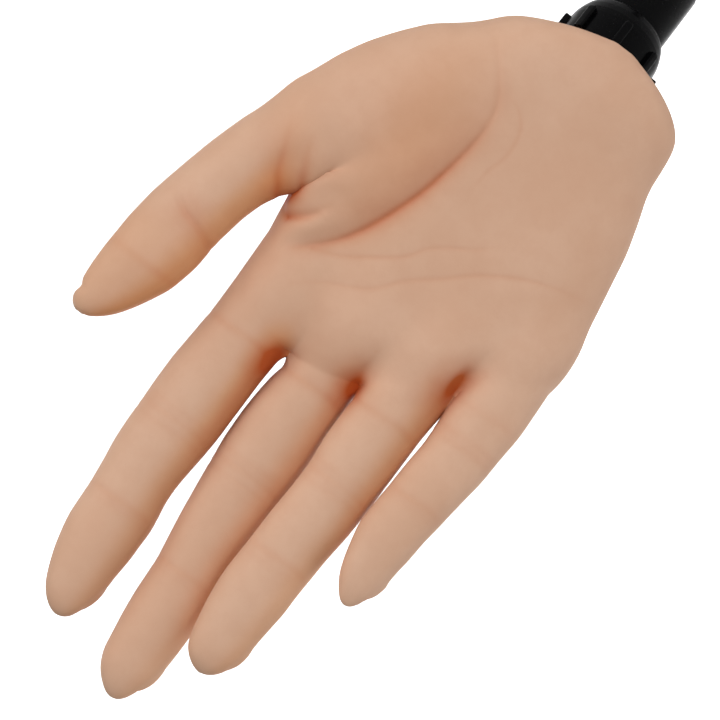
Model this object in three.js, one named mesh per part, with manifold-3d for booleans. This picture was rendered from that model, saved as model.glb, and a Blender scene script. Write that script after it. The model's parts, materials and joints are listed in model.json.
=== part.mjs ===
// Nail practice hand: a silicone right hand on an articulated skeleton, held by
// a ribbed locking nut on a tilting arm that stands in a table clamp.
// Units are millimetres, +Z up. The palm faces -Y and the thumb points to +X.
// The origin lies on the table top, under the axis of the swivel post.
import * as THREE from 'three';
import { mergeVertices } from 'three/addons/utils/BufferGeometryUtils.js';
import Module from 'manifold-3d';

const wasm = await Module();
wasm.setup();

// ---------------------------------------------------------------- dimensions
const GAP = 0.32;                       // clearance between separate pieces
const TILT = 26 * Math.PI / 180;        // arm leans this far off the vertical
const WRIST = [2.1, 3, -7.3];            // end of the nut's ribs on the arm axis, hand frame
const ARM_LENGTH = 104;                 // from WRIST down to the tilt pivot
const PIVOT_Z = 47;                     // height of the tilt pivot over the table
const NUT_R = 12.2, RIB_R = 13.6, NUT_RIBS = 8;
const NECK_R = 9.6, ARM_R = 7.0, STEM_R = 5.0;
const CLAMP_W = 28, JAW_OPEN = 28;
const SCREW_Y = -10, SCREW_R = 4.0;
const VIEW = { x: 3.7, z: 87.8, d: 600 };  // viewpoint from which the widths were read

// Outlines of the digits: [z, left x, right x]
const INDEX = [[60, 19.4, 40.4], [90, 19.2, 39.1], [98, 19.3, 38.8], [106, 19.3, 39.2], [114, 19.4, 39.6], [122, 19.3, 39.4],
  [130, 19.5, 39], [138, 19.8, 38.2], [142, 19.6, 37.6], [150, 18.4, 36.8], [158, 18, 36], [166, 18.4, 34.2], [170, 18.8, 32.8],
  [174, 19.6, 31], [177, 21.0, 28.6], [178.4, 22.6, 25.6]];
const MIDDLE = [[60, 0, 18.2], [90, 0.2, 18.0], [98, -0.3, 18.0], [106, -0.6, 18.4], [114, -1.4, 18.6], [122, -1.7, 18.2],
  [130, -1.6, 17.2], [138, -1.5, 15.8], [146, -2.1, 14.7], [154, -3.1, 13.4], [162, -4.3, 12.6], [170, -4.5, 11.6], [178, -3.7, 10.4],
  [182, -2.2, 8.7], [184.8, -0.8, 5.8], [186.1, 0.6, 3.2]];
const RING = [[60, -18.6, 0.2], [90, -18.8, -0.2], [98, -19.4, -0.2], [106, -19.3, -0.3], [114, -19.3, -1.2], [122, -19.4, -1.5],
  [130, -18.8, -1.2], [138, -18.4, -1], [146, -18.6, -1.1], [154, -18, -1.9], [162, -17.2, -3.4], [166, -15.6, -4.9], [168, -13.6, -7.4],
  [168.8, -12.2, -9.6]];
const LITTLE = [[55, -35.6, -18], [78, -36.8, -18.8], [86, -36.6, -19.3], [94, -36.4, -19.8], [102, -35.6, -19.6], [110, -34.6, -19.5],
  [118, -34.2, -19.6], [126, -33.2, -21.4], [130, -32.6, -22.6], [133.5, -31.2, -25], [135.2, -29.8, -27]];
const THUMB = [[26, 16, 47.8], [34, 23, 52.2], [42, 29.5, 55.2], [50, 35, 57.8], [58, 39.5, 60.4], [66, 42.4, 62.8], [70, 43.4, 63.8],
  [78, 45.8, 65.6], [86, 47.2, 67.2], [94, 47.8, 68], [102, 49.6, 68.2], [106, 51.4, 68.2], [110, 53.4, 67.9], [114, 55.8, 67.1],
  [117, 58.4, 66.2], [118.8, 61.2, 65]];
// Depth of each digit's middle line [z, y], and thickness over width [z, ratio]
const DEPTH = {
  index: [[60, 1], [98, 1], [126, 0.2], [149, -1.5], [179, -5.5]],
  middle: [[60, 1.5], [84, 2.2], [94, 3.1], [126, 3], [153, 1.2], [187, -3]],
  ring: [[60, 0.6], [84, 0], [94, -1.8], [104, -3.4], [120, -5], [136, -6.4], [169, -9.8]],
  little: [[55, 0.6], [72, 0], [90, -4.4], [98, -6.7], [108, -9], [136, -12.6]],
  thumb: [[26, -3], [62, -6.5], [86, -9], [120, -12]],
};
const THICK = {
  index: [[60, 1.0], [98, 0.95], [149, 0.86], [168, 0.8], [179, 0.8]],
  middle: [[60, 1.05], [98, 1.0], [153, 0.88], [176, 0.8], [187, 0.8]],
  ring: [[60, 1.05], [98, 0.96], [136, 0.88], [158, 0.8], [169, 0.8]],
  little: [[55, 1.15], [80, 0.98], [108, 0.9], [126, 0.82], [136, 0.8]],
  thumb: [[26, 0.85], [62, 0.95], [86, 0.85], [110, 0.72], [120, 0.72]],
};
// Turn of the hinge axes about the hand's length, radians: a finger that lies behind its neighbour swings away from it
const YAW = { index: 0.09, middle: 0.11, ring: 0.06, little: 0, thumb: -0.42 };
// Hinges of each digit: height z, bend towards the back, bend towards the palm, and the opening of the silicone on the
// palm side, in degrees
const HINGES = {
  index: [[104, 8, 45, 60], [126, 2, 55, 70], [149, 4, 35, 45]],
  middle: [[104, 8, 45, 60], [126, 2, 55, 70], [153, 4, 35, 45]],
  ring: [[98, 2, 45, 55], [114.5, 2, 55, 65], [136, 4, 35, 45]],
  little: [[81.5, 4, 40, 40], [92.5, 2, 50, 50], [108, 4, 35, 45]],
  thumb: [[63, 6, 16, 35], [86, 6, 30, 55]],
};
const TABLES = { index: INDEX, middle: MIDDLE, ring: RING, little: LITTLE, thumb: THUMB };
const TIP = { index: [24, 178.9], middle: [1.9, 186.5], ring: [-11, 169.1], little: [-28.4, 135.7], thumb: [63.2, 119.3] };
// Palm: [z, left x, right x, middle y, half thickness]
const PALM = [[-7.6, -8, 8, -13, 4], [-5, -15, 14, -8.4, 9.6], [-2, -20, 19.6, -4.6, 13.9], [2, -23.6, 26, -1.4, 17.4], [6, -24.8, 29.4, -0.4, 18.4],
  [14, -25.8, 38.2, 0.4, 18.2], [22, -28.2, 44.8, 0.3, 17.6], [30, -30.8, 48.5, 0, 16.6], [38, -32.4, 50, -0.3, 15.8], [46, -34, 48, -0.3, 15],
  [54, -35.8, 44.5, 0, 14.4], [62, -36.7, 41.8, 0.4, 13.8], [70, -36.7, 40.6, 0.8, 13], [76, -36.4, 39.8, 1, 11.6]];
const THENAR = { at: [31, -9.5, 38], r: [18.5, 11.5, 31] };
// Skeleton
const TANG = 3.0, FORK_IN = 1.9, FORK_OUT = 3.5, EYE_R = 3.1, PIN_R = 0.95, PIN_HOLE = 1.36;
const CH_X = 3.95, CH_Y = 3.62;         // half widths of the channel in the silicone

const COLOR = { skin: 0xd2a487, bone: 0xe4e0d4, steel: 0xb9bcc0, black: 0x0d0d0f, rubber: 0x1a1a1b, red: 0x141416 };

// ------------------------------------------------------------------- helpers
const V = (a) => new THREE.Vector3(...a);
const toWorld = (p) => new THREE.Vector3(p.x - WRIST[0], p.y - WRIST[1] - ARM_LENGTH * Math.sin(TILT), p.z - WRIST[2] + PIVOT_Z + ARM_LENGTH * Math.cos(TILT));
const OFFSET = toWorld(new THREE.Vector3());

function solid(geometry) {
  let g = geometry.clone();
  for (const k of Object.keys(g.attributes)) if (k !== 'position') g.deleteAttribute(k);
  g = mergeVertices(g, 1e-4);
  const idx = g.index.array, out = [];
  for (let i = 0; i < idx.length; i += 3) {
    const [a, b, c] = [idx[i], idx[i + 1], idx[i + 2]];
    if (a !== b && b !== c && a !== c) out.push(a, b, c);
  }
  // a profile drawn the other way round gives faces that point inwards: turn them
  const p = g.attributes.position.array;
  let six = 0;
  for (let i = 0; i < out.length; i += 3) {
    const [a, b, c] = [out[i] * 3, out[i + 1] * 3, out[i + 2] * 3];
    six += p[a] * (p[b + 1] * p[c + 2] - p[b + 2] * p[c + 1]) - p[a + 1] * (p[b] * p[c + 2] - p[b + 2] * p[c]) + p[a + 2] * (p[b] * p[c + 1] - p[b + 1] * p[c]);
  }
  if (six < 0) for (let i = 0; i < out.length; i += 3) [out[i + 1], out[i + 2]] = [out[i + 2], out[i + 1]];
  return new wasm.Manifold(new wasm.Mesh({ numProp: 3, vertProperties: new Float32Array(p), triVerts: new Uint32Array(out) }));
}

const root = new THREE.Group();
function put(name, body, color, rough = 0.5, metal = 0, offset = OFFSET) {
  const m = body.getMesh();
  const g = new THREE.BufferGeometry();
  const pos = new Float32Array(m.numProp === 3 ? m.vertProperties : m.vertProperties.filter((_, i) => i % m.numProp < 3));
  g.setAttribute('position', new THREE.BufferAttribute(pos, 3));
  g.setIndex(Array.from(m.triVerts));
  g.computeVertexNormals();
  const mesh = new THREE.Mesh(g, new THREE.MeshStandardMaterial({ color, roughness: rough, metalness: metal, flatShading: true }));
  mesh.name = name;
  mesh.position.copy(offset);
  root.add(mesh);
}
const ORIGIN = new THREE.Vector3();

const lerpTable = (t, z, k) => {
  if (z <= t[0][0]) return t[0][k];
  for (let i = 1; i < t.length; i++) if (z <= t[i][0]) {
    const f = (z - t[i - 1][0]) / (t[i][0] - t[i - 1][0]);
    return t[i - 1][k] + f * (t[i][k] - t[i - 1][k]);
  }
  return t[t.length - 1][k];
};
const seen = (x, y) => VIEW.x + (x - VIEW.x) * (1 + y / VIEW.d);   // width as seen -> width at depth y
const seenZ = (z, y) => VIEW.z + (z - VIEW.z) * (1 + y / VIEW.d);

// A closed body through rings of points, with a point at each end
function loft(rings, first, last) {
  const n = rings[0].length, pos = [], idx = [];
  for (const r of rings) for (const p of r) pos.push(p.x, p.y, p.z);
  const a = pos.length / 3; pos.push(first.x, first.y, first.z);
  const b = a + 1; pos.push(last.x, last.y, last.z);
  for (let j = 0; j < n; j++) {
    const k = (j + 1) % n;
    for (let i = 0; i + 1 < rings.length; i++) {
      const p = i * n + j, q = i * n + k, r = (i + 1) * n + k, s = (i + 1) * n + j;
      idx.push(p, q, r, p, r, s);
    }
    idx.push(a, k, j, b, (rings.length - 1) * n + j, (rings.length - 1) * n + k);
  }
  const g = new THREE.BufferGeometry();
  g.setAttribute('position', new THREE.BufferAttribute(new Float32Array(pos), 3));
  g.setIndex(idx);
  return g;
}
function section(cx, cy, a, b, z, n, power) {
  const pts = [];
  for (let i = 0; i < n; i++) {
    const t = (i + 0.5) / n * Math.PI * 2, c = Math.cos(t), s = Math.sin(t);
    const f = (v) => Math.sign(v) * Math.abs(v) ** (2 / power);
    pts.push(new THREE.Vector3(cx + a * f(c), cy + b * f(s), z));
  }
  return pts;
}

// Box from p to q with half widths hx, hy; its x axis lies along axis
function frameOf(p, d, axis) {
  const z = d.clone().normalize();
  const x = axis.clone().addScaledVector(z, -axis.dot(z)).normalize();
  const y = new THREE.Vector3().crossVectors(z, x);
  return new THREE.Matrix4().makeBasis(x, y, z).setPosition(p);
}
function localBox(m, x0, x1, y0, y1, z0, z1) {
  const g = new THREE.BoxGeometry(x1 - x0, y1 - y0, z1 - z0);
  g.translate((x0 + x1) / 2, (y0 + y1) / 2, (z0 + z1) / 2);
  return solid(g.applyMatrix4(m));
}
function localRodX(m, r, x0, x1, y = 0, z = 0, n = 14) {
  const g = new THREE.CylinderGeometry(r, r, x1 - x0, n);
  g.rotateZ(Math.PI / 2);
  g.translate((x0 + x1) / 2, y, z);
  return solid(g.applyMatrix4(m));
}
function localRodZ(m, r, z0, z1, n = 12, r1 = r) {
  const g = new THREE.CylinderGeometry(r1, r, z1 - z0, n);
  g.rotateX(Math.PI / 2);
  g.translate(0, 0, (z0 + z1) / 2);
  return solid(g.applyMatrix4(m));
}
function lathe(m, profile, n = 32) {
  const g = new THREE.LatheGeometry(profile.map(([r, z]) => new THREE.Vector2(r, z)), n);
  g.rotateX(Math.PI / 2);
  const s = solid(g.applyMatrix4(m));
  return s;
}
const I = new THREE.Matrix4();
const union = (list) => list.reduce((a, b) => a.add(b));

// ------------------------------------------------------------ digit geometry
const NAMES = ['index', 'middle', 'ring', 'little', 'thumb'];
const digit = {};
for (const name of NAMES) {
  const at = (zSeen) => {
    const y = lerpTable(DEPTH[name], zSeen, 1);
    const l = seen(lerpTable(TABLES[name], zSeen, 1), y), r = seen(lerpTable(TABLES[name], zSeen, 2), y);
    const a = (r - l) / 2;
    return { c: new THREE.Vector3((l + r) / 2, y, seenZ(zSeen, y)), a, b: a * lerpTable(THICK[name], zSeen, 1) };
  };
  const hinges = HINGES[name].map(([z, back, , open]) => ({ p: at(z).c, back, palm: open }));
  const tipY = lerpTable(DEPTH[name], TIP[name][1], 1);
  const tip = new THREE.Vector3(seen(TIP[name][0], tipY), tipY, seenZ(TIP[name][1], tipY));
  // Hinge axes lie across the digit; the thumb's turns its pad towards the palm
  const line = tip.clone().sub(hinges[0].p).normalize();
  const across = new THREE.Vector3(Math.cos(YAW[name]), Math.sin(YAW[name]), 0);
  const axis = across.addScaledVector(line, -across.dot(line)).normalize();
  const pts = [...hinges.map((h) => h.p), tip];
  hinges.forEach((h, i) => { h.dir = pts[i + 1].clone().sub(h.p).normalize(); h.len = pts[i + 1].distanceTo(h.p); });
  digit[name] = { at, hinges, tip, axis, name };
}

function digitLoft(name, z0, z1, step = 7) {
  const d = digit[name], t = TABLES[name], n = 12;
  const zs = [];
  const count = Math.max(1, Math.round((Math.min(z1, t[t.length - 1][0]) - z0) / step));
  for (let i = 0; i <= count; i++) zs.push(z0 + (Math.min(z1, t[t.length - 1][0]) - z0) * i / count);
  if (z1 >= TIP[name][1]) {
    const keep = zs.filter((z) => z < t[t.length - 4][0] - 2);
    zs.length = 0;
    zs.push(...keep, ...t.slice(-4).map((r) => r[0]));
  }
  const rings = zs.map((z) => { const s = d.at(z); return section(s.c.x, s.c.y, s.a, s.b, s.c.z, n, 2.15); });
  const a = d.at(zs[0]).c, b = z1 >= TIP[name][1] ? d.tip : d.at(zs[zs.length - 1]).c;
  return solid(loft(rings, a, b));
}

// The side of a hinge's wedge that a segment keeps: sign +1 beyond the hinge, -1 before it
function wedge(h, axis, sign) {
  const rad = Math.PI / 180;
  const d = h.cut, palm = new THREE.Vector3().crossVectors(axis, d).negate();
  if (palm.y > 0) palm.negate();
  const out = [];
  for (const [side, ang] of [[1, h.palm / 2 + 1.2], [-1, h.back / 2 + 1.2]]) {
    const n = d.clone().multiplyScalar(sign * Math.cos(ang * rad)).addScaledVector(palm, -side * Math.sin(ang * rad)).normalize();
    const m = frameOf(h.p, n, axis);
    out.push(localBox(m, -60, 60, -60, 60, GAP / 2, 160));
  }
  return out[0].intersect(out[1]);
}

// ------------------------------------------------------------------ skeleton
// A flat eye with a pin hole at height zEye, running straight to zRoot
const CYCLE = new THREE.Matrix4().makeBasis(new THREE.Vector3(0, 1, 0), new THREE.Vector3(0, 0, 1), new THREE.Vector3(1, 0, 0));
function eyePlate(m, x0, x1, zEye, zRoot) {
  const s = new THREE.Shape(), up = Math.sign(zEye - zRoot), n = 8;
  s.moveTo(-EYE_R, zRoot);
  for (let i = 0; i <= n; i++) {
    const t = Math.PI - Math.PI * i / n;
    s.lineTo(EYE_R * Math.cos(t), zEye + up * EYE_R * Math.sin(t));
  }
  s.lineTo(EYE_R, zRoot);
  s.closePath();
  const hole = new THREE.Path();
  for (let i = 0; i < 8; i++) {
    const t = (i + 0.5) / 8 * Math.PI * 2, q = [PIN_HOLE * Math.cos(t), zEye + PIN_HOLE * Math.sin(t)];
    if (i) hole.lineTo(...q); else hole.moveTo(...q);
  }
  hole.closePath();
  s.holes.push(hole);
  const g = new THREE.ExtrudeGeometry(s, { depth: x1 - x0, bevelEnabled: false });
  g.applyMatrix4(CYCLE);
  g.translate(x0, 0, 0);
  return solid(g.applyMatrix4(m));
}
const BLOCK_Y = 3.28;
function fork(m, len, from) {
  return union([
    localBox(m, -FORK_OUT, FORK_OUT, -BLOCK_Y, BLOCK_Y, from, len - 3.8),
    eyePlate(m, -FORK_OUT + 0.1, -FORK_IN, len, len - 4.4), eyePlate(m, FORK_IN, FORK_OUT - 0.1, len, len - 4.4),
  ]);
}
function bone(name, i) {
  const d = digit[name], h = d.hinges[i], last = i === d.hinges.length - 1;
  const m = frameOf(h.p, h.dir, d.axis);
  const parts = [eyePlate(m, -TANG / 2, TANG / 2, 0, 4.8)];
  if (last) {
    const end = h.len - 8.5;
    parts.push(localBox(m, -3.0, 3.0, -BLOCK_Y, BLOCK_Y, 4.1, 6.4), localRodZ(m, 2.3, 6.1, end, 8, 1.5));
  } else if (h.len > 16) {
    parts.push(localBox(m, -FORK_OUT, FORK_OUT, -BLOCK_Y, BLOCK_Y, 4.1, 5.8), localRodZ(m, 2.6, 5.4, h.len - 4.9, 8), fork(m, h.len, h.len - 5.6));
  } else {
    parts.push(fork(m, h.len, 4.1));
  }
  return union(parts);
}
function pin(name, i) {
  const d = digit[name], h = d.hinges[i];
  return localRodX(frameOf(h.p, h.cut, d.axis), PIN_R, -3.6, 3.6, 0, 0, 8);
}
// Room in the silicone for the bones on one side of a hinge
function channel(name, i, z0, z1) {
  const d = digit[name], h = d.hinges[i];
  return localBox(frameOf(h.p, h.dir, d.axis), -CH_X, CH_X, -CH_Y, CH_Y, z0, z1);
}

// The cut at a hinge lies midway between the two segments' directions
const ROOTS = { index: [20, 0.6, 46], middle: [6, 0.8, 46], ring: [-8, 0.6, 46], little: [-19, 0.4, 42], thumb: [20, -2.5, 30] };
for (const name of NAMES) {
  let before = digit[name].hinges[0].dir;
  for (const h of digit[name].hinges) {
    h.cut = before.clone().add(h.dir).normalize();
    before = h.dir;
  }
}

const SEG = ['proximal', 'middle', 'distal'];
for (const name of NAMES) {
  const d = digit[name], hs = d.hinges, segs = name === 'thumb' ? ['proximal', 'distal'] : SEG;
  hs.forEach((h, i) => {
    const last = i === hs.length - 1;
    const z0 = HINGES[name][i][0], z1 = last ? 400 : HINGES[name][i + 1][0];
    let s = digitLoft(name, z0 - 5, last ? 400 : z1 + 5).intersect(wedge(h, d.axis, 1));
    if (!last) {
      s = s.intersect(wedge(hs[i + 1], d.axis, -1)).subtract(channel(name, i, -6, h.len + 6));
    } else {
      s = s.subtract(channel(name, i, -6, 6.8)).subtract(localRodZ(frameOf(h.p, h.dir, d.axis), 2.7, 6, h.len - 8.1, 10));
    }
    put(`${name}_${segs[i]}_skin`, s, COLOR.skin, 0.6);
    put(`${name}_${segs[i]}_bone`, bone(name, i), COLOR.bone, 0.5);
    put(`${name}_${['base', 'middle', 'end'][name === 'thumb' && i ? 2 : i]}_pin`, pin(name, i), COLOR.steel, 0.3, 1);
  });
}

// ---------------------------------------------------------------- palm plate
const T = new THREE.Vector3(0, Math.sin(TILT), -Math.cos(TILT));       // down the arm
const ARM = frameOf(V(WRIST), T.clone().negate(), new THREE.Vector3(1, 0, 0));  // local z points up the arm
function palmFrame(grow) {
  const g = grow, parts = [];
  const shape = new THREE.Shape();
  const outline = [[-8, 6.4], [12.5, 6.4], [24, 26], [25, 48], [10, 56], [-8, 56], [-24, 48], [-22, 34]];
  // the outline grows from its middle
  const c = [1.5, 34];
  outline.forEach(([x, z], i) => {
    const dx = x - c[0], dz = z - c[1], l = Math.hypot(dx, dz), f = (l + 1.5 * g) / l;
    const [px, pz] = [c[0] + dx * f, c[1] + dz * f];
    if (i) shape.lineTo(px, pz); else shape.moveTo(px, pz);
  });
  const ex = new THREE.ExtrudeGeometry(shape, { depth: 5 + 2 * g, bevelEnabled: false });
  ex.rotateX(Math.PI / 2);              // shape y -> world z, depth -> -y
  ex.translate(0, 3.2 + g, 0);
  parts.push(solid(ex));
  for (const name of NAMES) {
    const d = digit[name], h = d.hinges[0], from = V(ROOTS[name]);
    const m = frameOf(h.p, h.dir, d.axis), dir = h.p.clone().addScaledVector(h.dir, -5.4).sub(from);
    parts.push(localBox(frameOf(from, dir, d.axis), -3.2 - g, 3.2 + g, -2.7 - g, 2.7 + g, -2, dir.length() + (g ? 0.6 : 0)));
    if (g) parts.push(localBox(m, -CH_X, CH_X, -CH_Y, CH_Y, -7.6, 8));
    else parts.push(fork(m, 0, -7));
  }
  parts.push(localRodZ(ARM, 8 + g, 8.35, 25 + g, 20));
  return parts;
}
{
  let plate = union(palmFrame(0));
  plate = plate.subtract(localRodZ(ARM, STEM_R + GAP, 5, 22.4, 16));
  put('palm_plate', plate, COLOR.bone, 0.5);
  put('wrist_stem', localRodZ(ARM, STEM_R, -6.6, 22, 16), COLOR.steel, 0.25, 1);
}

// ----------------------------------------------------------------- palm skin
{
  const rings = PALM.map(([z, l, r, y, b]) => {
    const xl = seen(l, y), xr = seen(r, y);
    return section((xl + xr) / 2, y, (xr - xl) / 2, b, seenZ(z, y - b), 22, 2.5);
  });
  const lastRing = PALM[PALM.length - 1];
  let palm = solid(loft(rings, new THREE.Vector3(0, -13, -8.3), new THREE.Vector3(1.5, 1, lastRing[0] + 0.4)));
  const th = new THREE.SphereGeometry(1, 14, 9);
  th.scale(...THENAR.r);
  th.rotateY(0.22);
  th.translate(...THENAR.at);
  palm = palm.add(solid(th));
  for (const name of NAMES) {
    const d = digit[name], z0 = TABLES[name][0][0];
    const stub = digitLoft(name, z0, HINGES[name][0][0] + 6).intersect(wedge(d.hinges[0], d.axis, -1));
    palm = palm.add(stub);
  }
  // webs between the fingers
  for (const [x0, x1, z1] of [[-21, -16.5, 77], [-3, 3, 91.5], [16, 22, 96]]) {
    palm = palm.add(localBox(I, x0, x1, -7, 8.5, 60, z1));
  }
  // nothing of the palm stands in the digits' own space
  for (const p of palmFrame(GAP + 0.05)) palm = palm.subtract(p);
  // stem hole and the round seat of the locking nut
  palm = palm.subtract(localRodZ(ARM, 8.4, -20, 12, 20));
  palm = palm.subtract(localRodZ(ARM, RIB_R + 0.9, -30, 8.5, 28));
  put('palm_skin', palm, COLOR.skin, 0.6);
}

// ----------------------------------------------------- locking nut and collet
{
  let nut = lathe(ARM, [[6.2, 8], [11.4, 8], [NUT_R, 7.2], [NUT_R, 0.2], [12.05, -1.4], [11.65, -3.2], [11.1, -4.8], [10.5, -5.7], [9.4, -5.7], [9.4, 6.4], [6.2, 6.4], [6.2, 8]], 32);
  for (let i = 0; i < NUT_RIBS; i++) {
    const m = ARM.clone().multiply(new THREE.Matrix4().makeRotationZ(i / NUT_RIBS * Math.PI * 2));
    nut = nut.add(localBox(m, NUT_R - 0.6, RIB_R, -1.1, 1.1, 0, 7.2));
  }
  put('lock_nut', nut, COLOR.black, 0.3);
  let collet = lathe(ARM, [[STEM_R + GAP, 3.9], [8.7, 3.9], [9.0, 4.3], [8.2, 6.05], [STEM_R + GAP, 6.05], [STEM_R + GAP, 3.9]], 24);
  collet = collet.subtract(localBox(ARM, 4, 12, -0.6, 0.6, 3, 7));
  put('collet', collet, COLOR.bone, 0.5);
  put('neck_socket', lathe(ARM, [[STEM_R + GAP, 3.5], [9, 3.5], [9, -6.1], [NECK_R, -6.1], [NECK_R, -24.4], [NECK_R - 1, -26], [ARM_R + GAP, -26], [ARM_R + GAP, -7.3], [STEM_R + GAP, -7.3], [STEM_R + GAP, 3.5]], 32), COLOR.black, 0.35);
}

// ---------------------------------------------------------- arm and its foot
const S = (s) => -s;                       // distance down the arm -> local z
{
  put('arm_tube', lathe(ARM, [[5.6, S(7.7)], [ARM_R, S(7.7)], [ARM_R, S(86)], [5.6, S(86)], [5.6, S(7.7)]], 24), COLOR.black, 0.4);
  let foot = lathe(ARM, [[0, S(93.4)], [7.8, S(93.4)], [8.6, S(92.6)], [8.6, S(74.5)], [8.0, S(73.8)], [ARM_R + GAP, S(73.8)], [ARM_R + GAP, S(86.4)], [0, S(86.4)]], 24);
  foot = foot.add(localBox(ARM, -4.1, 4.1, -8, 8, S(ARM_LENGTH), S(92.8)));
  foot = foot.add(localRodX(ARM, 8, -4.1, 4.1, 0, S(ARM_LENGTH), 24));
  foot = foot.subtract(localRodX(ARM, 3.34, -6, 6, 0, S(ARM_LENGTH), 16));
  put('arm_foot', foot, COLOR.black, 0.45);
}

// ------------------------------------------------- swivel post, bolt and knob
const PZ = new THREE.Matrix4().makeTranslation(0, 0, 0);
{
  let post = lathe(PZ, [[0, 6.8], [6.2, 6.8], [7, 7.6], [7, 30.6], [12.4, 30.6], [12.8, 31], [12.8, 34], [12.2, 34.6], [0, 34.6]], 28);
  for (const s of [-1, 1]) {
    const [a, b] = s < 0 ? [-9.4, -4.5] : [4.5, 9.4];
    post = post.add(localBox(PZ, a, b, -8.6, 8.6, 34, PIVOT_Z)).add(localRodX(PZ, 8.6, a, b, 0, PIVOT_Z, 24));
  }
  post = post.subtract(localRodX(PZ, 3.34, -14, 14, 0, PIVOT_Z, 16));
  // groove for the tip of the post screw
  post = post.subtract(lathe(PZ, [[5.6, 18.4], [8, 18.4], [8, 23.6], [5.6, 23.6], [5.6, 18.4]], 24));
  put('swivel_post', post, COLOR.black, 0.45, 0, ORIGIN);
  let bolt = localRodX(PZ, 3, -10, 17, 0, PIVOT_Z, 16).add(localRodX(PZ, 5.6, -13.6, -9.75, 0, PIVOT_Z, 6));
  put('tilt_bolt', bolt, COLOR.steel, 0.3, 1, ORIGIN);
}
// Round knob with lobes, its axis along local z, from z0 to z1
function knob(m, r, z0, z1, lobes, hole, depth) {
  let k = lathe(m, [[0, z0], [r * 0.55, z0], [r * 0.62, z0 + 1.6], [r - 1.6, z0 + 2], [r - 0.6, z0 + 3.2], [r - 0.6, z1 - 1.4], [r - 2.2, z1], [0, z1]], 24);
  for (let i = 0; i < lobes; i++) {
    const a = i / lobes * Math.PI * 2;
    const lm = m.clone().multiply(new THREE.Matrix4().makeTranslation(Math.cos(a) * (r + 1.1), Math.sin(a) * (r + 1.1), 0));
    k = k.subtract(localRodZ(lm, 2.6, z0 - 1, z1 + 1, 8));
  }
  return k.subtract(localRodZ(m, hole, z0 - 1, z0 + depth, 16));
}
const ALONG_X = (x, y, z) => new THREE.Matrix4().makeBasis(new THREE.Vector3(0, 1, 0), new THREE.Vector3(0, 0, 1), new THREE.Vector3(1, 0, 0)).setPosition(x, y, z);
put('tilt_knob', knob(ALONG_X(0, 0, PIVOT_Z), 11, 9.75, 22.5, 7, 3.34, 8), COLOR.black, 0.4, 0, ORIGIN);

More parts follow.
